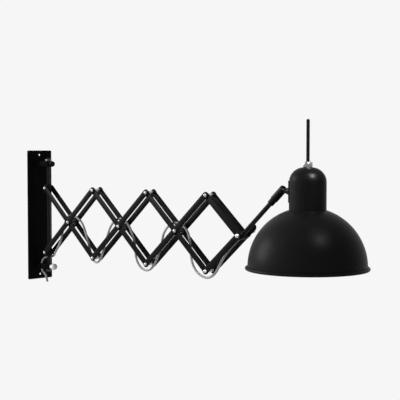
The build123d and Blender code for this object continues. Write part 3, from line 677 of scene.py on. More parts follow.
@dataclass(frozen=True)
class MouldedPlastic:
    """Moulded or turned plastic."""

    name: str
    colour: Point
    roughness: float
    grain_depth: float = 0.05
    specular: float = 0.5

    def build(self, effects: Effects) -> Material:
        """Make the material: mould grain, faint mottling and handling marks."""
        skin = Skin(self.name)
        grain = skin.effect(effects.grain, Scale=1400.0)
        marks = skin.effect(effects.handling, Amount=0.6)
        tone = skin.mix(grain["Tone"], tint(self.colour, 0.88), tint(self.colour, 1.08))
        rough = skin.math("MULTIPLY_ADD", marks["Smudge"], 0.14, self.roughness, clamp=True)
        sockets = {"Base Color": tone, "Roughness": rough, "Specular IOR Level": self.specular}
        return skin.close(sockets, (self.grain_depth, 0.0001, grain["Height"]))


@dataclass(frozen=True)
class BraidedTextile:
    """Grey braided sleeve of the cable."""

    name: str
    thread: Point
    shadow: Point
    carriers: float = 8.0
    pitch: float = 0.013

    def build(self, effects: Effects) -> Material:
        """Make the material: plaited threads with painted shade in the gaps between them, two thread tones and fuzz."""
        skin = Skin(self.name)
        braid = skin.effect(effects.braid, Carriers=self.carriers, Pitch=self.pitch)
        light = skin.mix(braid["Over"], tint(self.thread), tint(self.thread, 0.72))
        # Painted shade: the braid's low parts, the gaps between threads, darken towards the shadow colour.
        gap_shade_mask = skin.ramp(braid["Height"], ((0.05, 0.0), (0.55, 1.0)))
        woven = skin.mix(gap_shade_mask, tint(self.shadow), light)
        fuzzy = skin.mix(skin.math("MULTIPLY", braid["Fuzz"], 0.35), woven, tint(self.thread, 1.25))
        height = skin.math("MULTIPLY_ADD", braid["Fuzz"], 0.25, braid["Height"])
        sockets = {"Base Color": fuzzy, "Roughness": 0.85, "Specular IOR Level": 0.2, "Sheen Weight": 0.25,
                   "Sheen Roughness": 0.4}
        return skin.close(sockets, (0.7, 0.0003, height))


@dataclass(frozen=True)
class ClearGlass:
    """Thin clear bulb glass with the faintest film."""

    name: str

    def build(self, effects: Effects) -> Material:
        """Make the material: clear glass, with smudges in its roughness."""
        skin = Skin(self.name)
        marks = skin.effect(effects.handling)
        rough = skin.math("MULTIPLY_ADD", marks["Smudge"], 0.08, 0.03, clamp=True)
        glass = {"Base Color": (0.98, 0.98, 0.97, 1), "Transmission Weight": 1.0, "IOR": 1.45}
        return skin.close({**glass, "Roughness": rough})


class Finishes:
    """The lamp's finishes, built once and handed to each sub-assembly."""

    def __init__(self) -> None:
        """Build every finish."""
        effects = Effects()
        self.shade = PaintedSteel("shade_black", 0.0125, 0.38, 0.028, 520.0, wear=0.35).build(effects)
        self.bars = PaintedSteel("bar_black", 0.0060, 0.42, 0.024, 800.0).build(effects)
        self.plate = PaintedSteel("plate_black", 0.0040, 0.45, 0.02, 800.0, wear=0.6).build(effects)
        self.fitting = PaintedSteel("fitting_black", 0.0080, 0.34, 0.05, 1100.0, grain_depth=0.06).build(effects)
        # Painted highlight: a lighter, shinier grey laid on the socket's end chamfer, standing for a glint there.
        self.worn_edge = PaintedSteel("worn_edge", 0.10, 0.34, 0.30, 1100.0, grain_depth=0.06).build(effects)
        self.lining = PaintedSteel("shade_lining", 0.62, 0.45, 0.45, 520.0, wear=0.4).build(effects)
        self.zinc = PlatedMetal("bright_zinc", (0.50, 0.50, 0.51), 0.27).build(effects)
        self.chrome = PlatedMetal("chrome", (0.20, 0.20, 0.207), 0.16, spread=0.08).build(effects)
        self.rod = PlatedMetal("dark_rod", (0.016, 0.016, 0.018), 0.34, depth=0.10).build(effects)
        self.cast_zinc = PlatedMetal("cast_zinc", (0.62, 0.62, 0.63), 0.5, metallic=0.45).build(effects)
        self.black_nut = PlatedMetal("black_nut", (0.05, 0.05, 0.053), 0.25).build(effects)
        self.nickel = PlatedMetal("cap_nickel", (0.66, 0.62, 0.55), 0.26).build(effects)
        self.black_plastic = MouldedPlastic("black_plastic", (0.012, 0.012, 0.013), 0.42).build(effects)
        self.gloss_ball = MouldedPlastic("gloss_black", (0.004, 0.004, 0.005), 0.14, 0.01, 0.06).build(effects)
        self.pale_ball = MouldedPlastic("pale_ball", (0.86, 0.86, 0.855), 0.38, 0.03).build(effects)
        self.textile = BraidedTextile("textile_sleeve", (0.60, 0.60, 0.595), (0.32, 0.32, 0.32)).build(effects)
        self.glass = ClearGlass("bulb_glass").build(effects)


# ---------------------------------------------------------------- repeating parts
class Repeats:
    """Geometry Nodes trees for the parts that repeat or follow a rule."""

    def __init__(self) -> None:
        """Build the trees once."""
        self.bar_tree = self._bar_tree()
        self.hardware_tree = self._hardware_tree()
        self.thread_tree = self._thread_tree()

    @staticmethod
    def _start(name: str, inputs: Sockets) -> GroupTools:
        """Start a tree with a geometry input, named inputs and a material."""
        inputs = {"Geometry": "Geometry", **inputs, "Material": "Material"}
        return GroupTools(name, "GeometryNodeTree", inputs, {"Geometry": "Geometry"})

    @staticmethod
    def _close(tools: GroupTools, geometry: Output) -> Tree:
        """End a tree in Realize Instances and Set Material."""
        real = tools.node("GeometryNodeRealizeInstances", {0: geometry}).outputs[0]
        dressed = tools.node("GeometryNodeSetMaterial", {"Geometry": real, "Material": tools.given["Material"]})
        return tools.close({"Geometry": dressed.outputs[0]})

    def _bar_tree(self) -> Tree:
        """Flat bar with round ends and rounded edges, as the hull of discs at its two ends."""
        sizes = {"Width": 0.0128, "Thickness": 0.0014, "Edge": 0.0004}
        tools = self._start("Flat bar", {"Start": "Vector", "End": "Vector", **sizes})
        given = tools.given
        half = tools.math("MULTIPLY", given["Width"], 0.5)
        join = tools.node("GeometryNodeJoinGeometry")
        for share, level in ((1.0, 0.0), (0.3, 0.3), (0.0, 1.0)):
            lift = tools.math("MULTIPLY", given["Edge"], level)
            radius = tools.math("SUBTRACT", half, tools.math("MULTIPLY", given["Edge"], share))
            disc = tools.node("GeometryNodeMeshCircle", {"Vertices": 36, "Radius": radius}).outputs[0]
            for height in (lift, tools.math("SUBTRACT", given["Thickness"], lift)):
                shift = tools.node("ShaderNodeCombineXYZ", {"Y": height}).outputs[0]
                for end in ("Start", "End"):
                    at = tools.node("ShaderNodeVectorMath", {0: given[end], 1: shift}, operation="ADD").outputs[0]
                    stand = {"Geometry": disc, "Translation": at, "Rotation": (math.pi / 2, 0, 0)}
                    tools.feed(join, {0: tools.node("GeometryNodeTransform", stand).outputs[0]})
        return self._close(tools, tools.node("GeometryNodeConvexHull", {0: join.outputs[0]}).outputs[0])

    def _hardware_tree(self) -> Tree:
        """One piece of hardware at every pivot point, each turned about the pivot's axis by its own angle."""
        tools = self._start("Pivot hardware", {"Piece": "Object", "Turn": 3.1416, "Seed": "Int"})
        given = tools.given
        points = tools.node("GeometryNodeMeshToPoints", {"Mesh": given["Geometry"]}).outputs[0]
        angle = tools.node("FunctionNodeRandomValue", {3: given["Turn"], "Seed": given["Seed"]}, data_type="FLOAT")
        about = tools.node("ShaderNodeCombineXYZ", {"Y": angle.outputs[1]}).outputs[0]
        template = tools.node("GeometryNodeObjectInfo", {"Object": given["Piece"]}).outputs["Geometry"]
        placing = {"Points": points, "Instance": template, "Rotation": about}
        return self._close(tools, tools.node("GeometryNodeInstanceOnPoints", placing).outputs[0])

    def _thread_tree(self) -> Tree:
        """Screw thread: a four-sided ridge along a spiral."""
        tools = self._start("Screw thread", {"Radius": 0.002, "Length": 0.004, "Pitch": 0.0007, "Ridge": 0.0003})
        given = tools.given
        turns = tools.math("DIVIDE", given["Length"], given["Pitch"])
        spiral = tools.node("GeometryNodeCurveSpiral", {
            "Resolution": 24, "Rotations": turns, "Start Radius": given["Radius"], "End Radius": given["Radius"],
            "Height": given["Length"]}).outputs[0]
        section = {"Resolution": 4, "Radius": given["Ridge"]}
        ridge = tools.node("GeometryNodeCurvePrimitiveCircle", section, mode="RADIUS")
        sweep = {"Curve": spiral, "Profile Curve": ridge.outputs[0], "Fill Caps": True}
        return self._close(tools, tools.node("GeometryNodeCurveToMesh", sweep).outputs[0])

    @staticmethod
    def run(name: str, tree: Tree, values: dict[str, object], points: Sequence[Vector] = (),
            angle: float = CRISP_ANGLE) -> Piece:
        """Run a tree and keep what it makes as a plain mesh.

        Args:
            name: Name of the piece.
            tree: The Geometry Nodes tree.
            values: Values for its named inputs.
            points: Points that it works on, where it needs them.
            angle: Edges that turn by more than this many degrees stay crisp.

        Returns:
            The finished object, with no modifier.
        """
        mesh = bpy.data.meshes.new(name)
        mesh.from_pydata([tuple(point) for point in points], [], [])
        holder = MeshKit.linked(name, mesh)
        modifier = holder.modifiers.new("nodes", "NODES")
        modifier.node_group = tree
        for item in tree.interface.items_tree:
            if getattr(item, "in_out", "") == "INPUT" and item.name in values:
                modifier[item.identifier] = values[item.name]
        return MeshKit.settle(holder, angle)


@dataclass
class SubAssembly(MeshKit):
    """A part of the lamp, with what it is built from and how it hands a piece over."""

    layout: Layout
    finishes: Finishes
    repeats: Repeats

    @staticmethod
    def hand_over(piece: Piece, body: str, node: str, slot: str, *materials: Material) -> None:
        """Give a piece its finish and its body, and let it stand for its solid.

        Args:
            piece: The finished object.
            body: The body that it moves with.
            node: The solid that it stands for.
            slot: The record's material slot; not used.
            *materials: Its materials, in the order of its faces' indices, unless it has them.
        """
        if materials:
            piece.data.materials.clear()
            for material in materials:
                piece.data.materials.append(material)
        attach(piece, body)
        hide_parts(node)
        LOG.info("%s: %d faces, moves with %s", piece.name, len(piece.data.polygons), body)

    def add_thread(self, work: Work, sizes: dict[str, float], *places: Matrix) -> None:
        """Add a screw thread to mesh work.

        Args:
            work: The mesh that takes it.
            sizes: The thread's Radius, Length, Pitch and Ridge.
            *places: Where it goes, once for each.
        """
        thread = self.repeats.run("thread", self.repeats.thread_tree, sizes)
        for place in places:
            grown = thread.data.copy()
            grown.transform(place)
            work.from_mesh(grown)
            bpy.data.meshes.remove(grown)
        bpy.data.objects.remove(thread)


# ---------------------------------------------------------------- wall fixture
@dataclass
class WallFixture(SubAssembly):
    """Plate, lugs, guide rod, its nuts and the two ball knobs."""

    plate_size: Point = (0.003, 0.065, 0.290)
    plate_corner: float = 0.003
    plate_edge: float = 0.0005
    hole_radius: float = 0.0025
    hole_reach: float = 0.135
    lug_reach: float = 0.115
    lug_height: float = 0.012
    lug_half_width: float = 0.012
    lug_edge: float = 0.001
    nose: float = 0.008
    nose_half_angle: float = 80.0
    rod_radius: float = 0.004
    rod_chamfer: float = 0.0006
    rod_thread_length: float = 0.0062
    nut_size: Point = (0.013, 0.005, 0.004)
    nut_drops: Flat = (0.0009, 0.0)
    rod_tip: float = 0.002
    cable_hole: Flat = (0.016, -0.006)
    cable_hole_radius: float = 0.0032
    screw_radius: float = 0.0025
    screw_chamfer: float = 0.0004
    ball_flat: float = 0.001

    def build(self) -> None:
        """Make and hand over every piece of the wall fixture."""
        finishes = self.finishes
        self.hand_over(self.plate(), "root", "wall_plate", STEEL, finishes.plate)
        self.hand_over(self.lugs(), "root", "rod_lugs", STEEL, finishes.plate)
        self.hand_over(self.rod(), "root", "guide_rod", STEEL, finishes.rod)
        self.hand_over(self.nuts(), "root", "rod_nuts", STEEL, finishes.black_nut)
        top, bottom = self.knob("top_ball", 1, 0.0065, 0.0), self.knob("bottom_ball", -1, 0.00725, 0.004)
        self.hand_over(top, "top_knob", "top_knob", "gloss_black", finishes.gloss_ball)
        self.hand_over(bottom, "bottom_knob", "bottom_knob", "pale_plastic", finishes.pale_ball)

    def on_rod(self, height: float) -> Matrix:
        """Placing on the guide rod's axis."""
        return Matrix.Translation((self.layout.rod_x, 0, height))

    def plate(self) -> Piece:
        """Wall plate with rounded edges and two screw holes."""
        thickness, width, height = self.plate_size
        corners = self.box(-width / 2, width / 2, -height / 2, height / 2)
        outline = self.eased(corners, self.plate_corner, 6, closed=True)
        holes = [self.circle((0, side * self.hole_reach), self.hole_radius) for side in SIDES]
        place = self.place((thickness / 2, 0, 0), (1, 0, 0), (0, 1, 0))
        return self.slab("plate", [outline, *holes], thickness, self.plate_edge, place)

    def lugs(self) -> Piece:
        """Two lugs that hold the rod; the lower one has the cable's hole."""
        rod_x, half, root = self.layout.rod_x, self.lug_half_width, self.plate_size[0]
        shoulder = rod_x - self.nose
        nose = self.arc((rod_x, 0), self.nose, -self.nose_half_angle, self.nose_half_angle, 16)
        tongue = [(root, -half), (shoulder, -half), *nose, (shoulder, half), (root, half)]
        work = bmesh.new()
        for side in SIDES:
            holes = [self.circle((rod_x, 0), self.rod_radius)]
            if side < 0:
                holes.append(self.circle(self.cable_hole, self.cable_hole_radius, 24))
            place = Matrix.Translation((0, 0, side * self.lug_reach))
            self.add_slab(work, [tongue, *holes], self.lug_height, self.lug_edge, place)
        return self.finish("lugs", work)

    def rod(self) -> Piece:
        """Guide rod with its threaded ends."""
        end = self.lug_reach + self.lug_height / 2 + self.nut_size[1] + self.rod_tip
        r, ease = self.rod_radius, self.rod_chamfer
        profile = [(0, -end), (r - ease, -end), (r, -end + ease), (r, end - ease), (r - ease, end), (0, end)]
        work = bmesh.new()
        self.add_turned(work, profile, self.on_rod(0), 40)
        sizes = {"Radius": r - 0.0002, "Length": self.rod_thread_length, "Pitch": 0.00125, "Ridge": 0.0004}
        margin = 0.0004
        self.add_thread(work, sizes, self.on_rod(-end + margin), self.on_rod(end - margin - self.rod_thread_length))
        return self.finish("guide_rod_turned", work)

    def nuts(self) -> Piece:
        """Dark nuts on the rod's two ends."""
        work = bmesh.new()
        seat = self.lug_reach + self.lug_height / 2
        for side, turn in ((-1, 0.35), (1, 1.1)):
            place = self.place((self.layout.rod_x, 0, side * seat), (0, 0, side), (math.cos(turn), math.sin(turn), 0))
            self.add_hexagon(work, self.nut_size, place, self.nut_drops)
        return self.finish("rod_end_nuts", work)

    def knob(self, name: str, side: int, radius: float, stem: float) -> Piece:
        """Ball knob on a screw through the lug's nose.

        Args:
            name: The piece's name.
            side: 1 for the upper knob, -1 for the lower one.
            radius: The ball's radius.
            stem: Length of the collar between the lug and the ball.

        Returns:
            The knob.
        """
        seat = self.nose + PLAY
        flat = seat + stem
        centre = flat + radius - self.ball_flat
        edge = math.acos(-(radius - self.ball_flat) / radius)
        angles = [edge - edge * step / 26 for step in range(27)]
        ball = [(radius * math.sin(a), centre + radius * math.cos(a)) for a in angles]
        screw, tip, ease = self.screw_radius, self.rod_radius + PLAY, self.screw_chamfer
        collar = (screw + radius) / 2
        middle = [(screw, flat), (ball[0][0] - PLAY, flat)]
        if stem > 0:
            middle = self.eased([(screw, seat), (collar, seat), (collar, flat), (ball[0][0], flat)], ease)
        place = self.place((self.layout.rod_x, 0, side * self.lug_reach), (1, 0, 0))
        return self.turned(name, [(0, tip), (screw - ease, tip), (screw, tip + ease), *middle, *ball], place)


# ---------------------------------------------------------------- lattice
@dataclass
class LatticeArm(SubAssembly):
    """Bars, bolts, nuts, spacers, spools and the two sleeves on the guide rod."""

    links: int = 4
    bar_width: float = 0.0128
    bar_edge: float = 0.0004
    tail: float = 0.024
    head_radius: float = 0.0036
    head_height: float = 0.0029
    nut_flats: float = 0.007
    nut_height: float = 0.004
    nut_drops: Flat = (0.0006, 0.0004)
    nut_turn: float = 1.0472
    bolt_tip: float = 0.001
    bolt_chamfer: float = 0.0004
    spacer_radius: float = 0.00325
    spool_radius: float = 0.0062
    spool_waist: float = 0.0052
    spool_flange: float = 0.0024
    spool_slope: float = 0.0008
    sleeve_bore: float = 0.00408
    sleeve_radius: float = 0.007
    sleeve_half: float = 0.009
    boss_radius: float = 0.0045
    boss_start: float = 0.0052
    screw_radius: float = 0.002
    screw_reach: float = 0.003
    end_bolt_radius: float = 0.0025
    end_bolt_tip: float = 0.009
    acorn_radius: float = 0.0042
    acorn_rim: float = 0.002
    acorn_height: float = 0.0036

    def build(self) -> None:
        """Make and hand over the whole lattice."""
        templates = self._templates()
        for link in range(1, self.links + 1):
            self._bars(link)
            self._hardware(link, templates)
        for template in templates.values():
            bpy.data.objects.remove(template)
        self._sleeve("swing", Level.BOTTOM, self.layout.outer_face)
        self._sleeve("slide", Level.TOP, self.layout.inner_face)

    def _bars(self, link: int) -> None:
        """Make the rising and falling bars of one link."""
        layout = self.layout
        last = link == self.links
        for kind, near, far, face in (("rise", Level.BOTTOM, Level.TOP, layout.outer_face),
                                      ("fall", Level.TOP, Level.BOTTOM, layout.inner_face)):
            low = layout.pivot(2 * link - 2, near)
            high = layout.pivot(2 * link - 1, Level.MIDDLE) if last else layout.pivot(2 * link, far)
            for half in Face:
                tip = high.copy()
                if last and kind == "rise" and half is Face.BACK:
                    tip += (high - low).normalized() * self.tail
                shift = Vector((0, face if half is Face.BACK else -face - layout.bar_thickness, 0))
                values = {"Start": tuple(low + shift), "End": tuple(tip + shift), "Width": self.bar_width,
                          "Thickness": layout.bar_thickness, "Edge": self.bar_edge, "Material": self.finishes.bars}
                name = f"{kind}_bar_{half.name.lower()}_{link}"
                bar = self.repeats.run(f"{name}_flat", self.repeats.bar_tree, values, angle=50.0)
                self.hand_over(bar, f"{kind}_{link}", name, STEEL)

    def _templates(self) -> dict[str, Piece]:
        """Make one bolt, one nut and one spacer, each about its pivot's axis."""
        back, half, r = self.layout.bolt_seat, self.layout.spacer_half, self.layout.bolt_radius
        forward = self.place((0, 0, 0), (0, -1, 0))
        tip, ease = back + self.nut_height + self.bolt_tip, self.bolt_chamfer
        big, top = self.head_radius, back + self.head_height
        ball = (big**2 + self.head_height**2) / (2 * self.head_height)
        reaches = [big * (1 - step / 12) for step in range(1, 13)]
        dome = [(reach, top - ball + math.sqrt(max(0.0, ball**2 - reach**2))) for reach in reaches]
        profile = [(0, -tip), (r - ease, -tip), (r, -tip + ease), (r, back - 0.0001), (big - PLAY, back),
                   (big, back + PLAY), *dome]
        bolt = self.turned("bolt_template", profile, forward, 32)
        work = bmesh.new()
        size = (self.nut_flats, self.nut_height, r)
        self.add_hexagon(work, size, self.place((0, back, 0), (0, 1, 0)), self.nut_drops, 48)
        nut = self.finish("nut_template", work)
        ring = self.eased(self.box(r, self.spacer_radius, -half, half), 0.0003, 2, True)
        spacer = self.turned("spacer_template", ring, forward, 28, closed=True)
        return {"bolt": bolt, "nut": nut, "spacer": spacer}

    def _hardware(self, link: int, templates: dict[str, Piece]) -> None:
        """Make what rides on one rising link: bolts, nuts, spacers, and the spool or the arm's end bolt."""
        layout, body = self.layout, f"rise_{link}"
        foot = [layout.pivot(2 * link - 2, Level.BOTTOM)] if link > 1 else []
        middle, top = [layout.pivot(2 * link - 1, Level.MIDDLE)], [layout.pivot(2 * link, Level.TOP)]
        if link == self.links:
            middle, top = [], []
        bolted, spaced = foot + middle + top, foot + top
        for kind, node, points in (("bolt", "bolts", bolted), ("nut", "bolts", bolted), ("spacer", "spacers", spaced)):
            values = {"Piece": templates[kind], "Turn": self.nut_turn, "Seed": 3 + link, "Material": self.finishes.zinc}
            made = self.repeats.run(f"{kind}s_{link}", self.repeats.hardware_tree, values, points)
            self.hand_over(made, body, f"pivot_{node}_{link}", ZINC)
        if link < self.links:
            self.hand_over(self._spool(link), body, f"cable_spool_{link}", PLASTIC, self.finishes.black_plastic)
        else:
            self.hand_over(self._end_bolt(), body, f"pivot_bolts_{link}", ZINC, self.finishes.zinc)

    def _spool(self, link: int) -> Piece:
        """Waisted bush that the cable runs over."""
        half, inner = self.layout.spacer_half, self.layout.spacer_half - self.spool_flange
        r, big, waist, slope = self.layout.bolt_radius, self.spool_radius, self.spool_waist, self.spool_slope
        ring = [(r, -half), (big, -half), (big, -inner), (waist, -inner + slope), (waist, inner - slope), (big, inner),
                (big, half), (r, half)]
        place = self.place(self.layout.pivot(2 * link - 1, Level.MIDDLE), (0, 1, 0))
        return self.turned(f"spool_{link}", self.eased(ring, 0.0005, 3, True), place, 40, closed=True)

    def _end_bolt(self) -> Piece:
        """Bolt at the arm's end: round acorn head in front, threaded tip behind."""
        back = self.layout.bolt_seat
        tip, chamfer, ease = back + self.end_bolt_tip, 0.0005, 0.0004
        r, big = self.end_bolt_radius, self.acorn_radius
        profile = [(0, -tip), (r - chamfer, -tip), (r, -tip + chamfer), (r, back - 0.0001), (big - ease, back),
                   (big, back + ease), *self.head_arc(big, back + self.acorn_rim, self.acorn_height)]
        work = bmesh.new()
        place = self.place(self.layout.hub, (0, -1, 0))
        self.add_turned(work, profile, place, 40)
        sizes = {"Radius": r - 0.0001, "Length": 0.0038, "Pitch": 0.0008, "Ridge": 0.0003}
        self.add_thread(work, sizes, place @ Matrix.Translation((0, 0, -tip + ease)))
        return self.finish("end_bolt", work)

    def _sleeve(self, body: str, level: Level, face: float) -> None:
        """Make one sleeve and its screws.

        Args:
            body: The body that both move with.
            level: The sleeve's height on the rod.
            face: Where the inner face of the bar on it lies.
        """
        centre, bore, r, half = self.layout.pivot(0, level), self.sleeve_bore, self.sleeve_radius, self.sleeve_half
        boss, root, start = face - PLAY, self.screw_radius, self.boss_start
        ring = self.eased(self.box(bore, r, -half, half), 0.0008, 3, True)
        work = bmesh.new()
        self.add_turned(work, ring, Matrix.Translation(centre), 56, closed=True)
        end = self.eased(self.box(root, self.boss_radius, start, boss), 0.0004, 3, True)
        sides = [self.place(centre, (0, side, 0)) for side in SIDES]
        for place in sides:
            self.add_turned(work, end, place, 36, closed=True)
        self.hand_over(self.finish(f"{body}_sleeve_turned", work), body, f"{body}_sleeve", STEEL, self.finishes.fitting)
        head, big = face + self.layout.bar_thickness + PLAY, self.head_radius
        profile = [(0, boss - self.screw_reach), (root, boss - self.screw_reach), (root, head), (big - PLAY, head),
                   *self.head_arc(big, head + PLAY, self.head_height - PLAY)]
        work = bmesh.new()
        for place in sides:
            self.add_turned(work, profile, place, 32)
        self.hand_over(self.finish(f"{body}_screw_pair", work), body, f"{body}_screws", ZINC, self.finishes.zinc)


# ---------------------------------------------------------------- lamp head's arm
@dataclass
class HeadArm(SubAssembly):
    """Hub, tube with its collar, wing nut and the two halves of the ball joint."""

    hub_radius: float = 0.0075
    bolt_bore: float = 0.00258
    inlet_radius: float = 0.003
    inlet_start: float = 0.0043
    tube_start: float = 0.0042
    tube_radius: float = 0.0043
    tube_bore: float = 0.0033
    collar_start: float = 0.0920
    collar_length: float = 0.0103
    collar_radius: float = 0.0062
    collar_bore: float = 0.00308
    wing_hub_radius: float = 0.005
    wing_hub_height: float = 0.007
    wing_hub_taper: float = 0.86
    wing_angle: float = math.radians(36.0)
    wing_thickness: float = 0.0024
    wing_edge: float = 0.0007
    ball_radius: float = 0.0055
    cavity_radius: float = 0.00558
    socket_radius: float = 0.0072
    socket_end: float = 0.0080
    spigot_radius: float = 0.003
    spigot_length: float = 0.009
    mouth_radius: float = 0.0046
    stud_radius: float = 0.0044
    stud_flare: float = 0.0112
    stud_flare_end: float = 0.0150
    foot_radius: float = 0.0075
    foot: float = 0.02522
    rivet_pin: float = 0.0025
    rivet_radius: float = 0.0045
    rivet_start: float = 0.0281

    def build(self) -> None:
        """Make and hand over the hub, the tube and the ball joint."""
        finishes = self.finishes
        self.hand_over(self.hub(), "arm", "arm_hub", STEEL, finishes.fitting)
        self.hand_over(self.tube(), "arm", "arm_tube", STEEL, finishes.fitting)
        self.hand_over(self.wing_nut(), "wing_nut", "wing_nut", ZINC, finishes.cast_zinc)
        self.hand_over(self.socket(), "socket", "ball_socket", STEEL, finishes.fitting, finishes.worn_edge)
        self.hand_over(self.stud(), "stud", "ball_stud", STEEL, finishes.fitting)

    def hub(self) -> Piece:
        """Drum between the last bars, with the cable's inlet."""
        half = self.layout.spacer_half
        ring = self.eased(self.box(self.bolt_bore, self.hub_radius, -half, half), 0.0008, 3, True)
        drum = self.turned("hub_drum", ring, self.place(self.layout.hub, (0, 1, 0)), 64, closed=True)
        inward = self.place(self.layout.hub, -self.layout.tube_direction)
        cutter = self.turned("inlet_cutter", self.box(0, self.inlet_radius, self.inlet_start, 0.02), inward, 32)
        return self.cut(drum, [cutter])

    def tube(self) -> Piece:
        """Tube from the hub, with the collar that the socket turns in."""
        start, end, r, inner = self.tube_start, self.collar_start, self.tube_radius, self.tube_bore
        stop, big, bore = end + self.collar_length, self.collar_radius, self.collar_bore
        step = end - 0.0004
        ring = [(inner, start), (r, start), (r, step), (big - 0.0008, step), (big, end + 0.0010), (big, stop),
                (bore, stop), (bore, end), (inner, end)]
        place = self.place(self.layout.hub, self.layout.tube_direction)
        return self.turned("tube_and_collar", self.eased(ring, 0.0005, 3, True), place, closed=True)

    def wing_nut(self) -> Piece:
        """Cast wing nut behind the hub."""
        seat = self.layout.bolt_seat + PLAY
        line = Vector((math.cos(self.wing_angle), 0, math.sin(self.wing_angle)))
        base = self.place(self.layout.hub + Vector((0, seat, 0)), (0, 1, 0), line)
        work = bmesh.new()
        bore, r, height = self.bolt_bore, self.wing_hub_radius, self.wing_hub_height
        ring = [(bore, 0), (r, 0), (r * self.wing_hub_taper, height), (bore, height)]
        self.add_turned(work, self.eased(ring, 0.0008, 3, True), base, 40, closed=True)
        outline = [(0.0034, 0.0012), (0.0062, 0.0026), (0.0101, 0.0044),
                   *self.arc((0.0103, 0.0085), 0.0042, -75, 150, 18), (0.0050, 0.0072), (0.0034, 0.0062)]
        for side in SIDES:
            wing = self.eased([(x * side, y) for x, y in outline], 0.0008, 2, True)
            upright = base @ Matrix.Rotation(math.pi / 2, 4, "X")
            self.add_slab(work, [wing], self.wing_thickness, self.wing_edge, upright)
        return self.finish("wing_nut_cast", work)

    def socket(self) -> Piece:
        """Socket with the slot that lets the stud tilt, and a painted highlight on its end chamfer."""
        layout, direction = self.layout, self.layout.tube_direction
        base = self.place(layout.ball, direction, (direction.z, 0, -direction.x))
        back = self.collar_start + self.collar_length + PLAY - layout.ball_distance
        r, end, pin, foot = self.socket_radius, self.socket_end, self.spigot_radius, back - self.spigot_length
        body = [(0, foot), (pin, foot), (pin, back), (r - 0.001, back), (r, back + 0.001), (r, end - 0.0012),
                (r - 0.0012, end), (0, end)]
        solid = self.turned("socket_body", self.eased(body, 0.0006), base, 64)
        hollow = [(self.cavity_radius * math.sin(a), self.cavity_radius * math.cos(a))
                  for a in map(math.radians, range(0, 181, 9))]
        cavity = self.turned("cavity", hollow, base)
        mouth = self.turned("mouth", self.box(0, self.mouth_radius, 0.0011, 0.02), base)
        half = self.stud_radius + 0.0004
        outline = self.eased(self.box(0.0017, 0.0213, -half, half), 0.0003, 2, True)
        slot = self.slab("slot", [outline], 0.02, 0.0003, base @ Matrix.Translation((0, 0, 0.0078)))
        piece = self.cut(solid, [cavity, mouth, slot])
        # Faces of the end chamfer take the second material, the painted highlight that stands for the glint on the
        # socket's mouth.
        for face in piece.data.polygons:
            along = (face.center - layout.ball).dot(direction)
            face.material_index = 1 if along > end - 0.0013 and face.normal.dot(direction) > 0.3 else 0
        return piece

    def stud(self) -> Piece:
        """Ball, stud, flared foot and the rivet inside the neck."""
        r, s, big, foot = self.ball_radius, self.stud_radius, self.foot_radius, self.foot
        open_angle = math.pi - math.asin(s / r)
        angles = [open_angle * step / 20 for step in range(21)]
        ball = [(r * math.sin(a), -r * math.cos(a)) for a in angles]
        pin, rivet, inner = self.rivet_pin, self.rivet_radius, self.rivet_start
        run = [(s, self.stud_flare), (big - 0.001, self.stud_flare_end), (big, foot - 0.001), (big, foot), (pin, foot),
               (pin, inner), (rivet, inner), (rivet, inner + 0.0005), (rivet / 2, inner + 0.0016), (0, inner + 0.0016)]
        profile = ball + self.eased([ball[-1], *run], 0.0008)[1:]
        return self.turned("ball_and_stud", profile, self.place(self.layout.ball, (1, 0, 0)))


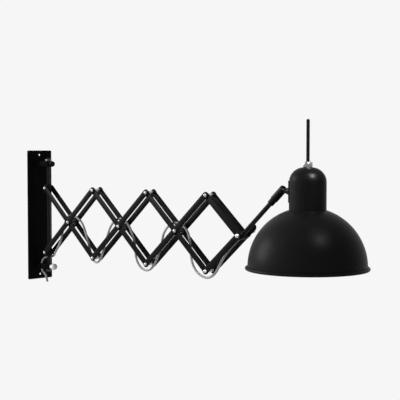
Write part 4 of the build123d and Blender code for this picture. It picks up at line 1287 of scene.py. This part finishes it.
# ---------------------------------------------------------------- shade
@dataclass
class LampShade(SubAssembly):
    """Neck, dome, saddle, crown nut, handle rod, lampholder and bulb."""

    neck_radius: float = 0.0326
    neck_overlap: float = 0.003
    crown_round: float = 0.026
    crown_z: float = 0.1165
    sheet: float = 0.001
    dome_radius: float = 0.1043
    dome_centre: float = -0.0568
    rim_radius: float = 0.1087
    bead_radius: float = 0.0030
    bead_drop: float = 0.0023
    saddle_thickness: float = 0.0014
    saddle_height: float = 0.038
    saddle_half_angle: float = math.radians(50.0)
    saddle_corner: float = 0.005
    saddle_screw_inset: float = 0.008
    handle_radius: float = 0.0030
    handle_top: float = 0.2002
    nut_flats: float = 0.0154
    nut_height: float = 0.0105
    nut_cone: float = 0.0018
    holder_radius: float = 0.020
    holder_length: float = 0.048
    holder_bore: float = 0.014
    holder_round: float = 0.008
    rib_pitch: float = 0.0035
    rib_depth: float = 0.0006
    stem_radius: float = 0.0058
    stem_length: float = 0.009
    bulb_radius: float = 0.030
    bulb_length: float = 0.080
    bulb_neck: float = 0.0126
    bulb_wall: float = 0.0008
    cap_radius: float = 0.0132
    cap_seat: float = 0.0118

    def build(self) -> None:
        """Make and hand over every piece of the lamp head."""
        finishes = self.finishes
        for piece, node, slot, *materials in (
            (self.neck(), "shade_neck", STEEL, finishes.shade, finishes.lining),
            (self.dome(), "shade_dome", STEEL, finishes.shade, finishes.lining),
            (self.saddle(), "saddle_plate", STEEL, finishes.shade),
            (self.saddle_screws(), "saddle_screws", STEEL, finishes.fitting),
            (self.crown_nut(), "crown_nut", "chrome", finishes.chrome),
            (self.handle(), "handle_rod", STEEL, finishes.fitting),
            (self.holder(), "lampholder", PLASTIC, finishes.black_plastic),
            (self.glass(), "bulb_glass", "bulb_glass", finishes.glass),
            (self.cap(), "bulb_cap", "bulb_metal", finishes.nickel),
        ):
            self.hand_over(piece, "shade", node, slot, *materials)

    @property
    def upright(self) -> Matrix:
        """Placing on the shade's axis."""
        return Matrix.Translation((self.layout.shade_axis, 0, 0))

    @property
    def seam_z(self) -> float:
        """Height where the dome meets the neck."""
        return self.dome_centre + math.sqrt(self.dome_radius**2 - self.neck_radius**2)

    @property
    def holder_mouth(self) -> float:
        """Height of the lampholder's mouth."""
        return self.crown_z - self.sheet - self.stem_length - self.holder_length

    def _line(self, piece: Piece, inside: Callable[[Vector, Vector], bool]) -> Piece:
        """Give the faces that look into the shade the lining's index."""
        axis = Vector((self.layout.shade_axis, 0, 0))
        for face in piece.data.polygons:
            face.material_index = 1 if inside(face.center - axis, face.normal) else 0
        return piece

    def neck(self) -> Piece:
        """Drawn cup with a rounded crown and a rolled-in skirt."""
        r, hole, ease = self.neck_radius, self.handle_radius, 0.0003
        bottom, wall = self.seam_z - self.neck_overlap, self.neck_radius - self.sheet
        centre = (r - self.crown_round, self.crown_z - self.crown_round)
        outer = [(hole, self.crown_z), *self.arc(centre, self.crown_round, 90, 0, 24), (r, bottom + ease)]
        inner = [(wall, bottom + ease), *self.arc(centre, self.crown_round - self.sheet, 0, 90, 24),
                 (hole, self.crown_z - self.sheet)]
        lip = [(r - ease, bottom), (wall + ease, bottom)]
        piece = self.turned("neck_cup", [*outer, *lip, *inner], self.upright, 128, closed=True)
        limit = r - self.sheet * 0.6

        def inside(place: Vector, normal: Vector) -> bool:
            """Whether a face is part of the cup's inner wall."""
            radial = Vector((place.x, place.y, 0))
            return (normal.dot(radial.normalized()) < -0.02 or normal.z < -0.5) and radial.length < limit

        return self._line(piece, inside)

    def dome(self) -> Piece:
        """Spun dome with its edge rolled round a wire."""
        inner_radius, centre = self.dome_radius - self.sheet, (0.0, self.dome_centre)
        seams = [math.degrees(math.acos(self.neck_radius / radius)) for radius in (self.dome_radius, inner_radius)]
        bead = (self.rim_radius - self.bead_radius, self.dome_centre - self.bead_drop)
        ring = [*self.arc(centre, self.dome_radius, seams[0], 0.2, 60),
                *self.arc(bead, self.bead_radius, 117, -205, 32),
                *self.arc(centre, inner_radius, 0.0, seams[1], 60)]
        piece = self.turned("dome_spun", ring, self.upright, 160, closed=True)
        limit = inner_radius + self.sheet * 0.4

        def inside(place: Vector, normal: Vector) -> bool:
            """Whether a face is part of the dome's inner wall."""
            out = Vector((place.x, place.y, place.z - self.dome_centre))
            return out.length < limit and normal.dot(out) < 0 and out.z > -0.001

        return self._line(piece, inside)

    def saddle(self) -> Piece:
        """Curved plate on the neck's side, with rounded corners and edges."""
        layout, radius, half, corner = self.layout, self.neck_radius, self.saddle_height / 2, self.saddle_corner
        outer, straight = radius + self.saddle_thickness, half - corner
        flat_half = outer * math.sin(self.saddle_half_angle)
        levels = [straight + corner * math.sin(math.radians(a)) for a in range(90, 0, -10)]
        heights = levels + [straight * (1 - step / 8) for step in range(17)] + [-z for z in reversed(levels)]
        columns = 40
        work = bmesh.new()
        grid = []
        for z in heights:
            over = max(0.0, abs(z) - straight)
            width = flat_half - corner + math.sqrt(max(0.0, corner**2 - over**2))
            angles = [math.asin(width * (2 * column / columns - 1) / outer) for column in range(columns + 1)]
            row = [(layout.shade_axis - radius * math.cos(a), radius * math.sin(a), layout.ball.z + z) for a in angles]
            grid.append([work.verts.new(point) for point in row])
        self.stitch(work, grid, wrap=False)
        piece = self.finish("saddle_curved", work)
        solid = piece.modifiers.new("wall", "SOLIDIFY")
        solid.thickness = self.saddle_thickness
        solid.offset = 1.0 if piece.data.polygons[0].normal.x < 0 else -1.0
        ease = piece.modifiers.new("edge", "BEVEL")
        ease.width = 0.0004
        ease.segments = 3
        ease.limit_method = "ANGLE"
        ease.angle_limit = math.radians(60)
        return self.settle(piece)

    def saddle_screws(self) -> Piece:
        """Two round-headed screws through the saddle plate."""
        work = bmesh.new()
        seat = self.layout.shade_axis - self.neck_radius - self.saddle_thickness
        profile = [(0, -0.004), (0.002, -0.004), (0.002, 0.0), (0.0029, 0.0), *self.head_arc(0.0032, 0.0003, 0.0015)]
        for side in SIDES:
            height = self.layout.ball.z + side * (self.saddle_height / 2 - self.saddle_screw_inset)
            self.add_turned(work, profile, self.place((seat, 0, height), (-1, 0, 0)), 32)
        return self.finish("saddle_screw_pair", work)

    def crown_nut(self) -> Piece:
        """Bright hexagon nut with a turned cone on top."""
        work = bmesh.new()
        place = self.upright @ Matrix.Translation((0, 0, self.crown_z))
        r, top = self.handle_radius, self.nut_height - self.nut_cone
        self.add_hexagon(work, (self.nut_flats, top, r), place, (0.0012, 0.0002))
        tip = top + self.nut_cone
        cone = [(r, top - 0.001), (0.0056, top - 0.001), (0.0054, top + 0.0004), (0.0036, tip), (r, tip)]
        self.add_turned(work, self.eased(cone, 0.0003, 2, True), place, 40, closed=True)
        return self.finish("crown_hex_nut", work)

    def handle(self) -> Piece:
        """Straight handle rod with a rounded tip."""
        r, low = self.handle_radius, self.crown_z - self.sheet - self.stem_length
        tip = self.arc((0.0, self.handle_top - r), r, 0, 90, 10)
        profile = [(0, low), (r, low), (r, self.crown_z), *tip[:-1], (0, self.handle_top)]
        return self.turned("handle_round", profile, self.upright, 32)

    def holder(self) -> Piece:
        """Ribbed lampholder with its stem, skirt and bore."""
        mouth, r, bore, stem, hole = self.holder_mouth, self.holder_radius, self.holder_bore, self.stem_radius, 0.006
        rod = self.handle_radius
        shoulder, turn, edge = mouth + self.holder_length, self.holder_round, 0.0006
        top = shoulder + self.stem_length
        side = [(r + 0.003, mouth), (r + 0.003, mouth + 0.005), (r, mouth + 0.0052)]
        for step in range(5):
            z, low = mouth + 0.012 + step * self.rib_pitch, r - self.rib_depth
            side += [(r, z), (low, z + 0.0006), (low, z + 0.0016), (r, z + 0.0022)]
        side += self.arc((r - turn, shoulder - turn), turn, 0, 90, 10)
        ring = [(bore, mouth + edge), (bore + edge, mouth), *side, (stem, shoulder), (stem, top), (rod, top),
                (rod, shoulder), (hole, shoulder - 0.003), (hole, mouth + 0.026), (bore, mouth + 0.025)]
        return self.turned("holder_turned", self.eased(ring, 0.0004, 2, True), self.upright, 72, closed=True)

    def _bulb_profile(self, inset: float) -> list[Flat]:
        """Outline of the bulb's glass from its seat down to its lowest point."""
        seat = self.holder_mouth
        radius, neck = self.bulb_radius - inset, self.bulb_neck - inset
        centre = seat - self.bulb_length + self.bulb_radius
        run = seat - centre
        tangent = math.atan2(run, neck) - (math.pi / 2 - math.asin(radius / math.hypot(run, neck)))
        touch = (radius * math.cos(tangent), centre + radius * math.sin(tangent))
        waist, steps = 0.0022, 14
        shoulder = []
        for step in range(steps + 1):
            t = step / steps
            pull = waist * math.sin(math.pi * t) ** 2
            shoulder.append((neck + (touch[0] - neck) * t - pull, seat + (touch[1] - seat) * t))
        ball = self.arc((0.0, centre), radius, math.degrees(tangent), -90, 30)
        return shoulder + ball[1:-1] + [(0.0, centre - radius)]

    def glass(self) -> Piece:
        """Thin-walled pear-shaped bulb."""
        outer, inner = self._bulb_profile(0.0), self._bulb_profile(self.bulb_wall)[::-1]
        work = bmesh.new()
        for profile in (outer, inner, [outer[0], inner[-1]]):
            self.add_turned(work, profile, self.upright, 64)
        return self.finish("bulb_envelope", work)

    def cap(self) -> Piece:
        """Screw cap of the bulb, with its rolled thread and contact."""
        seat, r, narrow, wave = self.holder_mouth, self.cap_radius, self.cap_seat, 0.0008
        side = [(r - wave + wave * math.cos(step * math.pi / 2), seat + 0.003 + step * 0.0006) for step in range(29)]
        profile = [(0, seat + 0.0002), (narrow, seat + 0.0002), (r - 0.0006, seat + 0.001), *side,
                   (narrow, seat + 0.021), (0.0066, seat + 0.0225), (0.0062, seat + 0.0245), (0, seat + 0.025)]
        return self.turned("bulb_screw_cap", profile, self.upright, 56)


# ---------------------------------------------------------------- cable
@dataclass(frozen=True)
class Stretch:
    """One length of the cable: the two bodies that it bends between and the points that it is drawn through."""

    node: str
    near: str
    far: str
    route: tuple[Point, ...]


class CableRoute(Enum):
    """The cable's nine lengths, from the wall end to the hub."""

    TAIL = Stretch("cable_tail", "root", "swing", (
        (0.0310, -0.0020, -0.1500), (0.0288, -0.0024, -0.1395), (0.0244, -0.0038, -0.1310), (0.0160, -0.0060, -0.1258),
        (0.0160, -0.0060, -0.1044)))
    FOOT = Stretch("cable_foot", "swing", "rise_1", (
        (0.0196, -0.0004, -0.0956), (0.0260, 0.0084, -0.0944), (0.0365, 0.0110, -0.0928), (0.0445, 0.0080, -0.0884),
        (0.0530, 0.0040, -0.0824), (0.0640, 0.0016, -0.0736), (0.0754, 0.0004, -0.0604), (0.0836, 0.0, -0.0426)))
    OVER_1 = Stretch("cable_over_1", "rise_1", "fall_1", (
        (0.0910, 0.0, -0.0196), (0.0990, 0.0, -0.0064), (0.1094, 0.0, 0.0020), (0.1226, 0.0, 0.0040),
        (0.1370, 0.0, -0.0006), (0.1502, 0.0, -0.0070), (0.1608, 0.0, -0.0188)))
    LOOP_1 = Stretch("cable_loop_1", "fall_1", "rise_2", (
        (0.1746, 0.0, -0.0490), (0.1802, 0.0, -0.0638), (0.1852, 0.0, -0.0784), (0.1918, 0.0, -0.0902),
        (0.2042, 0.0, -0.0946), (0.2150, 0.0, -0.0886), (0.2218, 0.0, -0.0770)))
    OVER_2 = Stretch("cable_over_2", "rise_2", "fall_2", (
        (0.2384, 0.0, -0.0378), (0.2450, 0.0, -0.0230), (0.2540, 0.0, -0.0094), (0.2668, 0.0, 0.0008),
        (0.2820, 0.0, 0.0048), (0.2966, 0.0, 0.0008), (0.3086, 0.0, -0.0088), (0.3176, 0.0, -0.0210)))
    LOOP_2 = Stretch("cable_loop_2", "fall_2", "rise_3", (
        (0.3276, 0.0, -0.0450), (0.3282, 0.0, -0.0586), (0.3300, 0.0, -0.0716), (0.3356, 0.0, -0.0842),
        (0.3458, 0.0, -0.0938), (0.3606, 0.0, -0.0984), (0.3754, 0.0, -0.0942), (0.3870, 0.0, -0.0838),
        (0.3956, 0.0, -0.0700)))
    OVER_3 = Stretch("cable_over_3", "rise_3", "fall_3", (
        (0.4074, 0.0, -0.0450), (0.4094, 0.0, -0.0332), (0.4132, 0.0, -0.0206), (0.4220, 0.0, -0.0086),
        (0.4348, 0.0, 0.0008), (0.4496, 0.0, 0.0048), (0.4650, 0.0, 0.0018), (0.4780, 0.0, -0.0066),
        (0.4866, 0.0, -0.0190)))
    LOOP_3 = Stretch("cable_loop_3", "fall_3", "rise_4", (
        (0.4906, 0.0, -0.0440), (0.4912, 0.0, -0.0560), (0.4932, 0.0, -0.0676), (0.4986, 0.0, -0.0792),
        (0.5084, 0.0, -0.0894), (0.5226, 0.0, -0.0964), (0.5384, 0.0, -0.0978), (0.5530, 0.0, -0.0910),
        (0.5638, 0.0, -0.0790), (0.5718, 0.0, -0.0660)))
    ENTRY = Stretch("cable_entry", "rise_4", "arm", (
        (0.5860, 0.0, -0.0470), (0.5966, 0.0, -0.0366), (0.6076, 0.0, -0.0270), (0.62293, 0.0, -0.01406)))


@dataclass
class TextileCable(SubAssembly):
    """Grey textile cable, one smooth tube for each of its lengths."""

    radius: float = 0.0024
    sides: int = 20

    def build(self) -> None:
        """Make the nine lengths, give each its finish and hide the solid that it stands for."""
        run = 0.0
        stretches = [route.value for route in CableRoute]
        for index, stretch in enumerate(stretches):
            points = [Vector(point) for point in stretch.route]
            if index > 0:
                points.insert(0, (Vector(stretches[index - 1].route[-1]) + points[0]) / 2)
            if index < len(stretches) - 1:
                points.append((Vector(stretches[index + 1].route[0]) + points[-1]) / 2)
            line = self.smooth_line(points)
            length = sum((b - a).length for a, b in zip(line, line[1:]))
            piece = self.tube(f"{stretch.node}_braid", line, run)
            run += length
            self.dress(piece, stretch, line, length)

    def smooth_line(self, points: Sequence[Vector]) -> list[Vector]:
        """Read the smooth NURBS line that a route draws.

        Args:
            points: The route's points, which control the line.

        Returns:
            Closely spaced points along the line.
        """
        curve = bpy.data.curves.new("route", "CURVE")
        curve.dimensions = "3D"
        curve.resolution_u = 14
        spline = curve.splines.new("NURBS")
        spline.points.add(len(points) - 1)
        for control, point in zip(spline.points, points):
            control.co = (*point, 1.0)
        spline.order_u = 3
        spline.use_endpoint_u = True
        mesh = self.bake_curve(curve)
        line = [vertex.co.copy() for vertex in mesh.vertices]
        bpy.data.meshes.remove(mesh)
        return line

    def tube(self, name: str, line: Sequence[Vector], start: float) -> Piece:
        """Sweep the cable's round section along a line, with UVs for its braid.

        Args:
            name: The piece's name.
            line: Points along its middle.
            start: Length of cable before this piece, so that the braid runs on.

        Returns:
            The tube.
        """
        work = bmesh.new()
        layer = work.loops.layers.uv.new("UVMap")
        rings, runs, side = [], [start], Vector((0, 1, 0))
        for index, point in enumerate(line):
            before, after = line[max(0, index - 1)], line[min(len(line) - 1, index + 1)]
            ahead = (after - before).normalized()
            side = (side - ahead * side.dot(ahead)).normalized()
            up = ahead.cross(side)
            if index:
                runs.append(runs[-1] + (point - line[index - 1]).length)
            ring = [point + (side * c + up * s) * self.radius for c, s in self.around(self.sides)]
            rings.append([work.verts.new(spot) for spot in ring])
        for number, face in enumerate(self.stitch(work, rings)):
            index, step = divmod(number, self.sides)
            corners = ((step, index), (step + 1, index), (step + 1, index + 1), (step, index + 1))
            for loop, (around, along) in zip(face.loops, corners):
                loop[layer].uv = (around / self.sides, runs[along])
        for end in (0, -1):
            for loop in work.faces.new(rings[end]).loops:
                loop[layer].uv = (0.5, runs[end])
        return self.finish(name, work, 60.0)

    def dress(self, piece: Piece, stretch: Stretch, line: Sequence[Vector], length: float) -> None:
        piece.data.materials.append(self.finishes.textile)
        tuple(line[0])
        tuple(line[-1])
        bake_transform(piece)
        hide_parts(stretch.node)
        path = [tuple(point) for point in reversed(line)]
        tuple(path[0])
        LOG.info("%s: %.1f mm of cable between %s and %s", piece.name, length * 1000, stretch.near, stretch.far)


# ---------------------------------------------------------------- studio
@dataclass(frozen=True)
class Lamp:
    """One soft studio light."""

    name: str
    place: Point
    target: Point
    power: float
    size: float
    spread: float = 180.0
    highlight_only: bool = False
    matte_only: bool = False


@dataclass
class Studio:
    """Camera, lights, floor and pale surroundings."""

    bearing: float = math.radians(45.13)
    pitch: float = math.radians(2.78)
    camera_place: Point = (1.92315, -1.4005, 0.14707)
    lens: float = 93.48
    sensor: float = 36.0
    clip: Flat = (0.02, 60.0)
    backdrop: float = 0.922
    ambient: float = 0.07
    floor_grey: float = 0.75
    floor_level: float = -0.75
    floor_half: float = 30.0
    lamps: tuple[Lamp, ...] = (
        Lamp("left_softbox", (-2.35, -1.75, 1.2), (0.45, 0.0, 0.0), 125.0, 1.5),
        Lamp("front_fill", (0.5, -3.0, 0.5), (0.4, 0.0, 0.0), 20.0, 1.6, matte_only=True),
        Lamp("right_softbox", (2.7, -0.5, 1.9), (0.75, 0.0, 0.05), 2.4, 0.35),
        Lamp("crown_kicker", (1.97, -0.24, 1.60), (0.792, -0.014, 0.132), 0.9, 0.16, spread=6.0, highlight_only=True),
    )

    def build(self) -> None:
        """Set up the camera, the lights, the floor and the world."""
        self.camera()
        for lamp in self.lamps:
            self.light(lamp)
        self.floor()
        self.world()
        bpy.context.scene.view_settings.view_transform = "Standard"

    def camera(self) -> None:
        """Place the camera where the photograph was taken from."""
        data = bpy.data.cameras.new("camera")
        data.lens = self.lens
        data.sensor_width = self.sensor
        data.clip_start, data.clip_end = self.clip
        holder = MeshKit.linked("camera", data)
        holder.location = self.camera_place
        holder.rotation_euler = (math.pi / 2 - self.pitch, 0.0, self.bearing)
        bpy.context.scene.camera = holder

    @staticmethod
    def light(lamp: Lamp) -> None:
        """Hang one soft square light."""
        data = bpy.data.lights.new(lamp.name, "AREA")
        data.energy = lamp.power
        data.size = lamp.size
        data.spread = math.radians(lamp.spread)
        holder = MeshKit.linked(lamp.name, data)
        holder.location = lamp.place
        aim = Vector(lamp.target) - Vector(lamp.place)
        holder.rotation_euler = aim.to_track_quat("-Z", "Y").to_euler()
        holder.visible_diffuse = not lamp.highlight_only
        holder.visible_glossy = not lamp.matte_only

    def _surround(self, owner: bpy.types.ID, unseen: tuple[str, float], pale: str, end: str) -> None:
        """Let something look like the pale backdrop, and light the lamp as something else.

        Args:
            owner: The floor's material or the world.
            unseen: Type name and grey of the shader that lights the lamp.
            pale: Type name of the shader that the camera sees.
            end: Type name of the output.
        """
        owner.use_nodes = True
        owner.node_tree.nodes.clear()
        tools = NodeTools(owner.node_tree)
        shaders = [tools.node(kind, {"Color": (grey, grey, grey, 1)}).outputs[0]
                   for kind, grey in (unseen, (pale, self.backdrop))]
        mixed = tools.node("ShaderNodeMixShader", {0: tools.seen(), 1: shaders[0], 2: shaders[1]})
        tools.node(end, {"Surface": mixed.outputs[0]})

    def floor(self) -> None:
        """Lay a plain pale floor well below the lamp."""
        work = bmesh.new()
        half = self.floor_half
        work.faces.new([work.verts.new((x, y, self.floor_level)) for x, y in MeshKit.box(-half, half, -half, half)])
        piece = MeshKit.finish("studio_floor", work)
        material = bpy.data.materials.new("studio_floor")
        matte = ("ShaderNodeBsdfDiffuse", self.floor_grey)
        self._surround(material, matte, "ShaderNodeEmission", "ShaderNodeOutputMaterial")
        piece.data.materials.append(material)

    def world(self) -> None:
        """Surround the lamp with the photograph's pale background, at a plain level of light."""
        world = bpy.data.worlds.new("studio")
        bpy.context.scene.world = world
        dim = ("ShaderNodeBackground", self.ambient)
        self._surround(world, dim, "ShaderNodeBackground", "ShaderNodeOutputWorld")


def main() -> None:
    """Build the studio, then the lamp's sub-assemblies in order."""
    logging.basicConfig(level=logging.INFO, format="%(name)s %(message)s")
    shared = (Layout(), Finishes(), Repeats())
    Studio().build()
    for kind in (TextileCable, WallFixture, LatticeArm, HeadArm, LampShade):
        kind(*shared).build()


if __name__ == "__main__":
    main()
